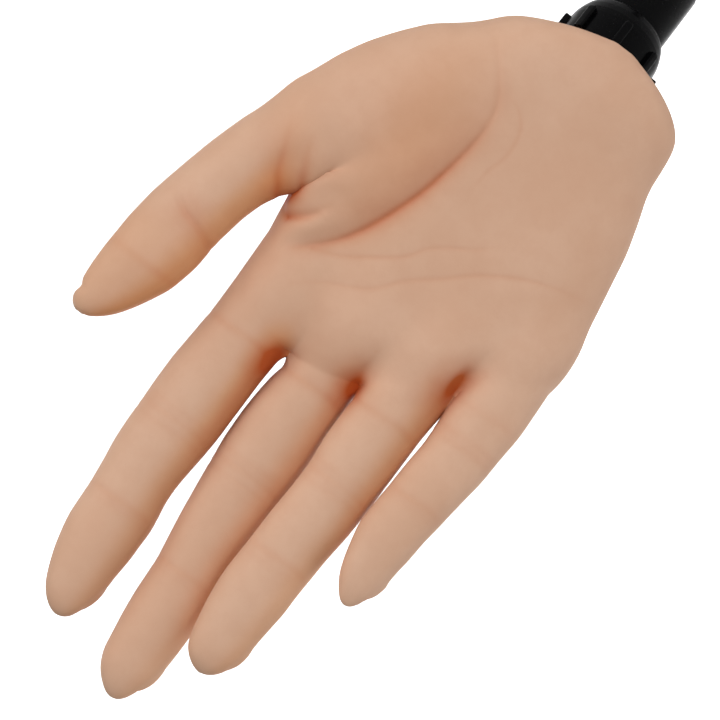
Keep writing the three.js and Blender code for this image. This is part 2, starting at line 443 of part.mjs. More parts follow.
// --------------------------------------------------------------------- clamp
{
  const w = CLAMP_W / 2;
  const s = new THREE.Shape();
  // side profile: x of the shape is Y, y of the shape is Z
  s.moveTo(-30, 2.6); s.lineTo(9, 2.6); s.quadraticCurveTo(13.6, 2.6, 13.6, -2);
  s.lineTo(13.6, -57); s.quadraticCurveTo(13.6, -61.6, 9, -61.6); s.lineTo(-24, -61.6);
  s.lineTo(-24, -71); s.lineTo(12, -72.5); s.quadraticCurveTo(22.6, -72.5, 22.6, -62);
  s.lineTo(22.6, 2); s.quadraticCurveTo(22.6, 12, 12.6, 12); s.lineTo(-27, 12); s.quadraticCurveTo(-30, 12, -30, 9);
  s.closePath();
  const g = new THREE.ExtrudeGeometry(s, { depth: CLAMP_W, bevelEnabled: false, curveSegments: 6 });
  g.applyMatrix4(new THREE.Matrix4().makeBasis(new THREE.Vector3(0, 1, 0), new THREE.Vector3(0, 0, 1), new THREE.Vector3(1, 0, 0)));
  g.translate(-w, 0, 0);
  let c = solid(g);
  c = c.add(lathe(PZ, [[0, 10], [13, 10], [13, 29.2], [12, 30.2], [0, 30.2]], 32));
  c = c.subtract(localRodZ(PZ, 7.34, 6.4, 40, 24));
  c = c.subtract(localRodX(PZ, 2.6, 5, 16, 0, 21, 12));
  const sm = new THREE.Matrix4().makeTranslation(0, SCREW_Y, 0);
  c = c.add(localRodZ(sm, 10, -80, -63, 24));
  c = c.subtract(localRodZ(sm, SCREW_R + 0.34, -90, -55, 18));
  put('clamp_bracket', c, COLOR.black, 0.45, 0, ORIGIN);
  // rubber pad under the upper jaw: its lower face is the table plane
  const pad = new THREE.Shape();
  pad.moveTo(-11, -29); pad.lineTo(11, -29); pad.quadraticCurveTo(13, -29, 13, -27); pad.lineTo(13, 7); pad.quadraticCurveTo(13, 9, 11, 9);
  pad.lineTo(-11, 9); pad.quadraticCurveTo(-13, 9, -13, 7); pad.lineTo(-13, -27); pad.quadraticCurveTo(-13, -29, -11, -29);
  put('jaw_pad', solid(new THREE.ExtrudeGeometry(pad, { depth: 2.25, bevelEnabled: false, curveSegments: 4 })), COLOR.rubber, 0.9, 0, ORIGIN);
  // screw with its collar, pressure pad and knob
  let screw = localRodZ(sm, SCREW_R, -106, -JAW_OPEN - 4.6, 16).add(localRodZ(sm, 6.2, -106.4, -103.6, 18));
  put('clamp_screw', screw, COLOR.steel, 0.3, 1, ORIGIN);
  put('screw_knob', knob(new THREE.Matrix4().makeBasis(new THREE.Vector3(1, 0, 0), new THREE.Vector3(0, -1, 0), new THREE.Vector3(0, 0, -1)).setPosition(0, SCREW_Y, -106.7), 15, 0, 15, 8, 0.9, 1), COLOR.black, 0.4, 0, ORIGIN);
  put('pressure_pad', lathe(sm, [[SCREW_R + 0.34, -JAW_OPEN - 10], [7, -JAW_OPEN - 10], [7.6, -JAW_OPEN - 5], [12, -JAW_OPEN - 3.4], [12, -JAW_OPEN - 0.6], [11.4, -JAW_OPEN], [0, -JAW_OPEN], [0, -JAW_OPEN - 4.2], [SCREW_R + 0.34, -JAW_OPEN - 4.2], [SCREW_R + 0.34, -JAW_OPEN - 10]].reverse(), 28), COLOR.black, 0.5, 0, ORIGIN);
  // thumb screw in the boss
  const k = knob(ALONG_X(0, 0, 21), 8, 13.6, 22, 6, 0.6, 0.6).add(localRodZ(ALONG_X(0, 0, 21), 2.2, 6.0, 15, 12));
  put('post_screw', k, COLOR.black, 0.4, 0, ORIGIN);
}

export default root;
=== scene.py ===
import json
import math
import bmesh
import bpy
import numpy as np
from mathutils import Matrix, Vector

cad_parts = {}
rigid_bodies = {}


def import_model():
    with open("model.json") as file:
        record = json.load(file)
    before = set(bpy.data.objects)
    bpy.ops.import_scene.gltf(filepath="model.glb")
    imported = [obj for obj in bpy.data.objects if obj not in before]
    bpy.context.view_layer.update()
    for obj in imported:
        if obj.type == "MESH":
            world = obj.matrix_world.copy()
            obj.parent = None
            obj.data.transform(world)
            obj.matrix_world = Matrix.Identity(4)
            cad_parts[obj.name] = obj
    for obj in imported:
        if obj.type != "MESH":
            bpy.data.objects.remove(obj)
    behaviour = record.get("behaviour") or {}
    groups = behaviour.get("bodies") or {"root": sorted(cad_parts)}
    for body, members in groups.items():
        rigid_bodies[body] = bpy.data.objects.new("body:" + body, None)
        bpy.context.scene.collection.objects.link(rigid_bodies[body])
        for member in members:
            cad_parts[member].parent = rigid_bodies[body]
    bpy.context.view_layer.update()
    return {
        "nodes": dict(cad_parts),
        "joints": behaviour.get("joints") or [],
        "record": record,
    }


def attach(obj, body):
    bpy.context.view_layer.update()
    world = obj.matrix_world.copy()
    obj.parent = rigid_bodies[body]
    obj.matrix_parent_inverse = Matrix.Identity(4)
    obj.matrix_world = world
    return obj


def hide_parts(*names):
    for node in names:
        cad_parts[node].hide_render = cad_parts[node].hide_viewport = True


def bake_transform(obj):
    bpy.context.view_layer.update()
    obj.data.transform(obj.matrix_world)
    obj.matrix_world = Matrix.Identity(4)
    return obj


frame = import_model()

# World position of the hand frame's zero, metres
OFFSET = np.array([-0.0021, -0.0485906, 0.1477746])

# ------------------------------------------------------------- hand's shape
# Hand frame, millimetres: +X thumb side, -Y palm, +Z fingertips.
VIEWX, VIEWZ, VIEWD = 3.7, 87.8, 600.0
DIGITS = {
    "index": dict(
        edge=[(60, 19.4, 40.4), (90, 19.2, 39.1), (98, 19.0, 38.9), (106, 19.3, 39.2), (114, 19.2, 39.6), (122, 19.2, 39.4),
              (130, 19.5, 39.0), (138, 19.8, 38.2), (142, 19.6, 37.6), (150, 18.4, 36.8), (158, 18.0, 36.0), (166, 18.4, 34.2),
              (170, 18.8, 32.8), (174, 19.6, 31.0), (177, 21.0, 28.6), (178.9, 24, 24.2)],
        depth=[(60, 1), (98, 1), (126, 0.2), (149, -1.5), (179, -5.5)],
        thick=[(60, 1.0), (98, 0.95), (149, 0.86), (168, 0.80), (179, 0.80)]),
    "middle": dict(
        edge=[(60, 0, 18.2), (90, 0.0, 17.9), (94, -0.3, 17.5), (99, -0.5, 17.4), (103, -0.7, 18.2), (108, -0.9, 18.6), (114, -1.6, 18.7), (122, -1.9, 18.3), (130, -1.7, 17.2),
              (138, -1.6, 15.8), (146, -2.1, 14.7), (154, -3.1, 13.4), (162, -4.3, 12.6), (170, -4.5, 11.6), (178, -3.7, 10.4),
              (182, -2.2, 8.7), (184.8, -0.8, 5.8), (186.5, 1.8, 2.0)],
        depth=[(60, 1.5), (84, 2.2), (94, 3.1), (126, 3.0), (153, 1.2), (187, -3.0)],
        thick=[(60, 1.05), (98, 1.0), (153, 0.88), (176, 0.80), (187, 0.80)]),
    "ring": dict(
        edge=[(60, -19.2, 0.2), (80, -19.45, -0.1), (86, -19.5, -0.2), (90, -19.3, -0.2), (94, -19.1, -0.2), (98, -19.2, -0.2), (106, -19.3, -0.3), (114, -19.3, -1.2), (122, -19.4, -1.5),
              (130, -18.8, -1.2), (138, -18.4, -1.0), (146, -18.6, -1.1), (154, -18.0, -1.9), (162, -17.2, -3.4),
              (166, -15.6, -4.9), (168, -13.6, -7.4), (169.1, -11, -10.8)],
        depth=[(60, 0.6), (84, -0.6), (94, -2.8), (104, -4.0), (120, -5.0), (136, -6.4), (169, -9.8)],
        thick=[(60, 1.05), (98, 0.96), (136, 0.88), (158, 0.80), (169, 0.80)], root=-0.1, trim=0.13),
    "little": dict(
        edge=[(50, -35.0, -18), (78, -36.9, -18.6), (81, -36.9, -18.75), (86, -36.7, -19.2), (90, -36.55, -19.55), (94, -36.4, -19.95), (102, -35.6, -19.7), (110, -34.6, -19.3),
              (118, -34.2, -19.45), (126, -33.3, -21.2), (130, -32.7, -22.6), (133.5, -31.2, -25), (135.7, -28.5, -28.3)],
        depth=[(50, 0.6), (72, -0.5), (80, -3.0), (90, -5.2), (98, -6.7), (108, -9.0), (136, -12.6)],
        thick=[(50, 1.15), (80, 0.98), (108, 0.90), (126, 0.82), (136, 0.80)], root=-0.1, trim=0.13),
    "thumb": dict(
        edge=[(18, 12, 41.3), (26, 17, 46.6), (34, 23.6, 51.1), (42, 30, 53.9), (50, 35.4, 56.9), (58, 39.6, 60.4), (66, 42.9, 62.8),
              (70, 43.9, 63.8), (78, 46.2, 65.6), (86, 47.4, 67.2), (94, 47.9, 68.0), (102, 49.6, 68.2), (106, 51.4, 68.2),
              (110, 53.4, 68.0), (114, 55.9, 67.6), (117, 58.7, 66.9), (119.3, 63.8, 64.0)],
        depth=[(18, -1.5), (40, -4), (62, -6.5), (86, -9), (120, -12)],
        thick=[(18, 0.8), (62, 0.95), (86, 0.85), (110, 0.72), (120, 0.72)]),
}
# Palm: z, left edge, right edge without the thumb, middle depth, half thickness
PALM = [(-6.3, -3.4, 2.2, -14.5, 1.0), (-5.6, -9.0, 6.6, -13, 4), (-4.4, -13.4, 11.2, -10.6, 7), (-1.4, -19.7, 18.8, -4.8, 13.4),
        (1.5, -23.1, 24.4, -2, 16.5), (3.5, -24.2, 26.8, -1.1, 17.5), (6, -24.6, 28.5, -0.6, 18.1), (10, -25.1, 32.2, 0.0, 18.2), (14, -25.4, 37.1, 0.3, 18.0), (17, -26.1, 40.1, 0.3, 17.8),
        (22, -28.1, 43.0, 0.3, 17.2), (30, -30.7, 46.3, 0, 16.2), (38, -32.3, 47.3, -0.2, 15.2), (46, -33.9, 46.0, -0.2, 14.4),
        (54, -35.2, 43.8, 0, 13.8), (58, -35.8, 42.8, 0.2, 13.5), (62, -36.9, 41.6, 0.4, 13.2), (66, -37.8, 40.5, 0.6, 12.9), (70, -37.6, 39.5, 0.8, 12.6), (78, -36.9, 38.8, 1.0, 12.0),
        (86, -36.4, 38.9, 1.1, 11.4), (100, -34, 38.5, 1.2, 10.8)]


def _smooth(v, sigma):
    n = int(4 * sigma) + 1
    k = np.exp(-0.5 * (np.arange(-n, n + 1) / sigma) ** 2)
    k /= k.sum()
    lo = 2 * v[0] - v[1:n + 1][::-1]
    hi = 2 * v[-1] - v[-n - 1:-1][::-1]
    return np.convolve(np.concatenate([lo, v, hi]), k, "valid")


def _dense(rows, cols, z, sigma):
    r = np.array(rows, float)
    return [_smooth(np.interp(z, r[:, 0], r[:, c]), sigma) for c in cols]


STEP = 0.25


def prepare_digit(d):
    e = np.array(d["edge"], float)
    z0, z1 = e[0, 0], e[-1, 0]
    zs = np.arange(z0, z1 + 6, STEP)
    y = np.interp(zs, *np.array(d["depth"], float).T)
    yc = _smooth(y, 8 / STEP)
    s = 1 + yc / VIEWD
    mid, half = (e[:, 1] + e[:, 2]) / 2, np.maximum((e[:, 2] - e[:, 1]) / 2 - np.interp(e[:, 0], (80, 88), (d.get("root", 0.05), d.get("trim", 0.05))), 0.1)
    # half width squared runs smoothly to nothing at a round tip
    sq = half ** 2
    slope = (sq[-1] - sq[-2]) / (e[-1, 0] - e[-2, 0])
    ez = np.append(e[:, 0], z1 + 10)
    esq = np.append(sq, sq[-1] + slope * 10)
    em = np.append(mid, mid[-1])
    a2 = _smooth(np.interp(zs, ez, esq), 1.0 / STEP)
    xm = _smooth(np.interp(zs, ez, em), 1.6 / STEP)
    t = np.interp(zs, *np.array(d["thick"], float).T)
    zt = VIEWZ + (zs - VIEWZ) * s
    xc = VIEWX + (xm - VIEWX) * s
    a = np.sqrt(np.clip(a2, 1e-4, None)) * s
    tip = zs[np.argmax(a2 <= 0)] if (a2 <= 0).any() else zs[-1]
    d.update(z=zt, xc=xc, a=a, yc=yc, b=a * _smooth(t, 6 / STEP), tip=VIEWZ + (tip - VIEWZ) * float(np.interp(tip, zs, s)), low=zt[0])
    return d


for _d in DIGITS.values():
    prepare_digit(_d)
_pz = np.arange(-6.3, 100, STEP)
_pl, _pr, _py, _pb = _dense(PALM, (1, 2, 3, 4), _pz, 1.6 / STEP)
_pl, _pr = VIEWX + (_pl - VIEWX) * (1 + _py / VIEWD), VIEWX + (_pr - VIEWX) * (1 + _py / VIEWD)


def superellipse(x, y, xc, yc, a, b, n):
    """First-order distance to |u|^n + |v|^n = 1"""
    u, v = np.abs(x - xc) / a, np.abs(y - yc) / b
    u, v = np.maximum(u, 1e-4), np.maximum(v, 1e-4)
    un, vn = u ** n, v ** n
    s = un + vn
    rho = s ** (1.0 / n)
    k = s ** (1.0 / n - 1)
    g = np.sqrt((k * un / u / a) ** 2 + (k * vn / v / b) ** 2)
    return (rho - 1) / g


def smin(a, b, k):
    h = np.maximum(k - np.abs(a - b), 0) / k
    return np.minimum(a, b) - h * h * k * 0.25


def digit_distance(name, x, y, z):
    d = DIGITS[name]
    xc, yc = np.interp(z, d["z"], d["xc"]), np.interp(z, d["z"], d["yc"])
    a, b = np.interp(z, d["z"], d["a"]), np.interp(z, d["z"], d["b"])
    a_, b_ = np.maximum(a, 0.4), np.maximum(b, 0.4)
    f = superellipse(x, y, xc, yc, a_, b_, 2.2)
    # slope of the outline near the tip
    az = np.interp(z - 0.5, d["z"], d["a"]) - np.interp(z + 0.5, d["z"], d["a"])
    f = f / np.sqrt(1 + np.clip(az, 0, 4) ** 2)
    over = z - d["tip"]
    r = np.sqrt((x - xc) ** 2 + (y - yc) ** 2)
    f = np.where(over > 0, np.sqrt(np.maximum(over, 0) ** 2 + np.maximum(r - 0.4, 0) ** 2), f)
    # a round end inside the palm
    return -smin(-f, z - d["low"], 13.0)


# upper edge of the palm between the fingers: x, z
TOP = np.array([(-60, 70), (-37, 72), (-28, 77), (-19.5, 78.0), (-15, 83.6), (-9, 90), (-0.5, 91.0), (5, 94.4), (10, 96.4), (18.6, 95.8), (26, 97), (34, 93), (41, 84), (60, 70)], float)
_tx = np.arange(-60, 60, 0.25)
_tz = _smooth(np.interp(_tx, TOP[:, 0], TOP[:, 1]), 3 / 0.25)


def palm_distance(x, y, z):
    zz = np.clip(z, _pz[0], _pz[-1])
    l, r = np.interp(zz, _pz, _pl), np.interp(zz, _pz, _pr)
    yc, b = np.interp(zz, _pz, _py), np.interp(zz, _pz, _pb)
    top = np.interp(x, _tx, _tz)
    t = np.clip((z - (top - 15)) / 15, 0, None)
    tb = np.clip((z - (top - 28)) / 28, 0, None)
    cut = 3.0 * np.clip((-2 - x) / 26, 0, 1) * np.clip((z - 48) / 36, 0, 1)
    b = np.where(y > yc, (b - cut) * np.sqrt(np.clip(1 - tb * tb, 0.0, None)), b * np.sqrt(np.clip(1 - t * t, 0.0, None))) + 0.02
    half = (r - l) / 2 - 4.5 * np.clip(t, 0, 1) ** 2
    f = superellipse(x, y, (l + r) / 2, yc, np.maximum(half, 0.3), np.maximum(b, 0.3), 2.6)
    f = np.maximum(f, z - top)
    return np.maximum(f, _pz[0] - z)


def polyline_distance(px, pz, pts):
    """Signed distance (positive on the right-hand side going along), and place along 0..1"""
    pts = np.array(pts, float)
    seg = np.diff(pts, axis=0)
    ln = np.hypot(seg[:, 0], seg[:, 1])
    cum = np.concatenate([[0], np.cumsum(ln)])
    best = np.full(px.shape, 1e9)
    sign = np.zeros(px.shape)
    at = np.zeros(px.shape)
    for i in range(len(seg)):
        t = ((px - pts[i, 0]) * seg[i, 0] + (pz - pts[i, 1]) * seg[i, 1]) / ln[i] ** 2
        tc = np.clip(t, 0, 1)
        dx, dz = px - pts[i, 0] - tc * seg[i, 0], pz - pts[i, 1] - tc * seg[i, 1]
        d = np.hypot(dx, dz)
        c = seg[i, 0] * dz - seg[i, 1] * dx
        m = d < best
        best = np.where(m, d, best)
        sign = np.where(m, -np.sign(c), sign)
        at = np.where(m, (cum[i] + tc * ln[i]) / cum[-1], at)
    return best, sign, at


def curve(pts, n=8):
    """Catmull-Rom through the points"""
    p = np.array(pts, float)
    p = np.vstack([2 * p[0] - p[1], p, 2 * p[-1] - p[-2]])
    out = []
    for i in range(1, len(p) - 2):
        for t in np.arange(n) / n:
            out.append(0.5 * ((2 * p[i]) + (-p[i - 1] + p[i + 1]) * t + (2 * p[i - 1] - 5 * p[i] + 4 * p[i + 1] - p[i + 2]) * t * t
                              + (-p[i - 1] + 3 * p[i] - 3 * p[i + 1] + p[i + 2]) * t ** 3))
    out.append(p[-2])
    return np.array(out)


# ------------------------------------------------------- palm's surface relief
THENAR_CREASE = curve([(24.5, 7.5), (23.0, 11.2), (17.6, 17.6), (14.7, 22.4), (13.6, 28.4), (13.9, 34.0), (14.9, 41.0), (16.4, 48.4), (18.6, 55.2), (21.4, 62.2), (24.6, 68.0), (28.9, 73.2), (34.0, 78.0)])
HEAD_LINE = curve([(28.4, 73.9), (21.9, 71.1), (16.2, 67.1), (10.2, 62.3), (7.4, 58.1), (3.8, 54.9), (-1.5, 51.5), (-5.5, 47.6), (-9, 44)])
HEART_LINE = curve([(27.5, 83.2), (24.6, 80.8), (20.8, 78.1), (12.3, 73.3), (6.8, 66.9), (-0.1, 60.9), (-4.5, 56.7), (-8.4, 53.8), (-14.4, 50), (-21.7, 47), (-28.5, 45.2), (-34, 44.4)])
FINE_ARC = curve([(15.9, 18.6), (10.6, 19.9), (7.1, 23.3), (5.9, 29.4), (7.2, 35.7), (7.9, 43.0)])


def gauss(d, s):
    return np.exp(-0.5 * (d / s) ** 2)


def bump(x, z, cx, cz, sx, sz, ang=0.0):
    c, s = np.cos(ang), np.sin(ang)
    u, v = (x - cx) * c + (z - cz) * s, -(x - cx) * s + (z - cz) * c
    return np.exp(-0.5 * ((u / sx) ** 2 + (v / sz) ** 2))


def sstep(a, b, v):
    t = np.clip((v - a) / (b - a), 0, 1)
    return t * t * (3 - 2 * t)


def along(at, t):
    t = np.array(t, float)
    return np.interp(at, t[:, 0], t[:, 1])


FOLD_A = curve([(39.6, 66.9), (38.4, 64.4), (37.0, 61.6), (35.4, 58.9), (33.0, 55.6), (31.2, 53.6)])
FOLD_B = curve([(37.2, 71.3), (35.0, 70.0), (32.9, 68.0), (31.2, 65.3), (29.7, 62.4)])
FOLD_C = curve([(39.4, 67.6), (39.5, 69.4), (38.6, 71.0), (37.4, 71.8)])
VALLEY_1 = curve([(43.6, 68.6), (45.6, 64.8), (47.4, 60.4), (49.0, 56.0), (49.9, 52.0)])
VALLEY_2 = curve([(40.2, 64.2), (42.1, 62.6), (42.9, 59.9), (43.9, 56.0), (44.9, 52.5)])
WEB = np.array([41.2, 66.6])
THUMB_LINE = curve([(62.5, 82.2), (60.0, 83.3), (56.4, 85.2), (52.6, 86.2), (49.4, 87.3), (47.0, 88.4)])
# Painted shade along the palm's creases and folds: polyline, then (width, offset to the thumb side, strength along it)
PAINTED_LINE_SHADE = [
    (THENAR_CREASE, [(0.6, 0.0, [(0, 0), (0.15, 0.05), (0.3, 0.12), (0.5, 0.4), (0.8, 0.35), (0.95, 0.15), (1, 0)]),
                     (1.3, -0.7, [(0, 0), (0.3, 0.06), (0.5, 0.15), (0.8, 0.2), (0.95, 0.15), (1, 0)]),
                     (3.2, 2.0, [(0, 0), (0.2, 0.05), (0.4, 0.16), (0.6, 0.2), (0.72, 0.2), (0.84, 0), (1, 0)])]),
    (HEAD_LINE, [(0.45, 0.0, [(0, 0.1), (0.3, 0.16), (0.7, 0.1), (1, 0)])]),
    (HEART_LINE, [(0.45, 0.0, [(0, 0.05), (0.3, 0.12), (0.7, 0.14), (1, 0)])]),
    (FINE_ARC, [(0.4, 0.0, [(0, 0), (0.3, 0.12), (0.7, 0.12), (1, 0)])]),
    (FOLD_A, [(0.9, -0.2, [(0, 1.0), (0.2, 0.8), (0.4, 0.35), (0.6, 0.1), (1, 0)]), (2.2, 0.0, [(0, 0.5), (0.25, 0.25), (0.45, 0), (1, 0)])]),
    (FOLD_B, [(0.8, 0.0, [(0, 0.6), (0.2, 0.4), (0.5, 0.2), (1, 0)]), (2.0, 0.0, [(0, 0.1), (0.5, 0), (1, 0)])]),
    (FOLD_C, [(0.8, 0.0, [(0, 0.3), (0.5, 0.15), (1, 0.05)])]),
    (VALLEY_1, [(0.6, 0.0, [(0, 0.35), (0.4, 0.2), (1, 0)]), (3.0, 0.0, [(0, 0.25), (0.5, 0.15), (1, 0)])]),
    (VALLEY_2, [(0.6, 0.0, [(0, 0.5), (0.5, 0.2), (1, 0)])]),
]
# Painted shade in hollows: x, z, strength, half width along x and z, turn
PAINTED_HOLLOW_SHADE = [(38.9, 65.2, 1.0, 1.7, 2.0, 0.4), (0.9, 93.4, 0.9, 1.2, 2.4, 0.1), (2.6, 94.6, 0.6, 2.6, 4.2, 0.2), (-18.8, 76.0, 0.3, 1.4, 3.2, -0.6), (-17.2, 78.8, 0.9, 1.1, 3.0, 0.0),
           (-15.4, 81.5, 0.45, 3.4, 4.8, 0), (20.4, 99.8, 0.8, 1.3, 2.8, 0.0), (22.6, 101.5, 0.4, 2.4, 4.0, 0.0), (55.0, 84.2, 0.14, 3.4, 3.0, 0.4), (31.3, 40.5, 0.08, 9, 12, 0)]


def palm_relief(x, z):
    """How far the palm's own surface stands out, in mm"""
    d, s, at = polyline_distance(x, z, THENAR_CREASE)
    q = d * s
    thumb = (x - WEB[0]) * 0.75 + (z - WEB[1]) * 0.66
    keep = sstep(8, -6, thumb)
    high = along(z, [(6, 0.0), (14, 0.4), (26, 1.4), (36, 3.0), (46, 4.5), (57, 5.2), (66, 4.8), (72, 3.4), (76, 1.4), (79, 0.2)])
    end = sstep(0, 0.05, at) * sstep(1.0, 0.95, at)
    r = high * (1 - np.exp(-(np.maximum(q, 0) / 6.5) ** 1.3)) * (1 - 0.45 * sstep(10, 34, q)) * keep
    r -= 0.34 * gauss(d, 0.5) * end * along(at, [(0, 0.3), (0.2, 0.5), (0.4, 1), (0.8, 0.9), (1, 0.2)])
    r -= high * 0.10 * gauss(d, 1.6)
    r += -1.1 * bump(x, z, -1, 42, 13, 22, -0.15)
    r += 1.2 * bump(x, z, -22, 26, 8, 19, 0.12)
    r += 0.5 * bump(x, z, -6, 8, 12, 8)
    r += 1.0 * bump(x, z, 28, 20, 9, 14, -0.3)
    for cx, cz, a, sx, sz in ((-28, 66, 0.6, 5, 9), (-10, 77, 1.1, 6, 8), (9, 83, 1.2, 6, 8), (29, 85, 1.0, 6, 9)):
        r += a * bump(x, z, cx, cz, sx, sz)
    for cx, cz, a, sx, sz in ((-18.2, 76.5, 0.9, 2.2, 4), (0.8, 89.5, 0.6, 2.0, 4), (20.5, 95.5, -0.9, 2.2, 3.2)):
        r -= a * bump(x, z, cx, cz, sx, sz)
    # main lines
    for line, depth, sg, soft in ((HEAD_LINE, 0.13, 0.4, 0.14), (HEART_LINE, 0.12, 0.4, 0.16), (FINE_ARC, 0.07, 0.4, 0.04)):
        d, s, at = polyline_distance(x, z, line)
        e = sstep(0, 0.15, at) * sstep(1, 0.7, at)
        r -= e * (depth * gauss(d, sg) + soft * gauss(d, 2.2))
    # folds of the web beside the thumb
    for pts, depth, sg, how in ((FOLD_A, 0.9, 0.7, [(0, 0.7), (0.15, 1.2), (0.3, 0.9), (0.5, 0.3), (0.75, 0), (1, 0)]),
                                (FOLD_A, 0.8, 1.6, [(0, 0.5), (0.15, 1.0), (0.3, 0.8), (0.5, 0.25), (1, 0)]),
                                (FOLD_B, 0.55, 0.6, [(0, 1), (0.4, 1), (0.7, 0.45), (1, 0)]),
                                (FOLD_B, 0.5, 1.5, [(0, 1), (0.5, 0.8), (1, 0)]),
                                (FOLD_C, 0.7, 0.6, [(0, 0.5), (0.5, 1), (1, 0.6)]),
                                (VALLEY_1, 0.30, 0.6, [(0, 1), (0.5, 0.7), (1, 0)]),
                                (VALLEY_2, 0.25, 0.7, [(0, 1.2), (0.5, 0.7), (1, 0)])):
        d, s, at = polyline_distance(x, z, pts)
        r -= depth * along(at, how) * gauss(d, sg)
    # the lobes between them
    r += 1.0 * bump(x, z, 35.9, 61.6, 2.0, 5.2, -0.62)
    r += 0.8 * bump(x, z, 32.0, 71.0, 1.7, 4.8, -0.66)
    r += 0.6 * bump(x, z, 40.6, 58.2, 1.7, 4.0, -0.25)
    r -= 0.9 * bump(x, z, 45.2, 60.8, 2.0, 6.0, -0.38)
    r -= 0.8 * bump(x, z, 39.2, 64.6, 1.3, 2.0, -0.4)
    return r


def back_relief(x, z):
    r = np.zeros_like(x)
    for (kx, kz, a), wx in zip(((-28, 66, 1.3), (-10.5, 76, 1.5), (8, 80, 1.8), (27.5, 77, 1.7)), (-9, -2, 3, 9)):
        r += a * bump(x, z, kx, kz, 5.2, 6.5)
        d, s, at = polyline_distance(x, z, [(kx, kz), (wx, 14)])
        r += 0.5 * gauss(d, 2.0) * along(at, [(0, 1), (0.5, 0.8), (0.85, 0.2), (1, 0)])
    for cx, cz in ((-19, 72), (-1, 79), (18, 80)):
        r -= 0.9 * bump(x, z, cx, cz, 2.8, 7)
    r += 1.0 * bump(x, z, 42, 56, 5.5, 7, -0.3)
    return r


# Joint creases of each digit's palm side: height, depth, width
CREASES = {
    "index": [(147.6, .13, .45), (149.6, .06, .4), (122.6, .08, .4), (124.9, .12, .45), (127.6, .10, .4), (129.6, .05, .4), (99.6, .16, .6)],
    "middle": [(152.4, .14, .45), (154.6, .05, .4), (122.6, .08, .4), (125.0, .12, .45), (127.8, .10, .45), (130.2, .05, .4), (99.4, .16, .6)],
    "ring": [(135.4, .14, .45), (137.8, .05, .4), (111.2, .08, .4), (113.6, .12, .45), (116.2, .09, .4), (94.8, .14, .6)],
    "little": [(105.6, .13, .4), (107.6, .05, .4), (87.2, .10, .45), (89.4, .11, .45), (80.0, .08, .5)],
    "thumb": [],
}
THUMB_CREASES = [(THUMB_LINE, 0.42, 0.5),
                 (curve([(60.0, 79.6), (57.0, 80.8), (53.0, 82.6), (49.0, 84.6), (46.5, 85.6)]), 0.20, 0.5),
                 (curve([(61.0, 86.0), (57.0, 88.4), (52.0, 89.8)]), 0.10, 0.45)]
KNUCKLES = {"index": [(126, 5.0), (149, 3.4)], "middle": [(126, 5.2), (153, 3.6)], "ring": [(114.5, 4.8), (136, 3.4)],
            "little": [(92, 3.8), (108, 2.8)], "thumb": [(86, 4.6)]}
# Nail seat: height of its root, half width, turn of its middle from the back towards +X (radians), edge of the pad at the tip, depth
NAILS = {"index": (165.3, 4.9, -0.50, 1.8, 0.75), "middle": (172.3, 5.2, -0.50, 1.7, 1.1), "ring": (155.3, 5.1, -0.50, 1.8, 0.7),
         "little": (124.0, 4.0, -0.55, 1.1, 0.9), "thumb": (103.2, 5.6, 0.30, 3.2, 0.9)}


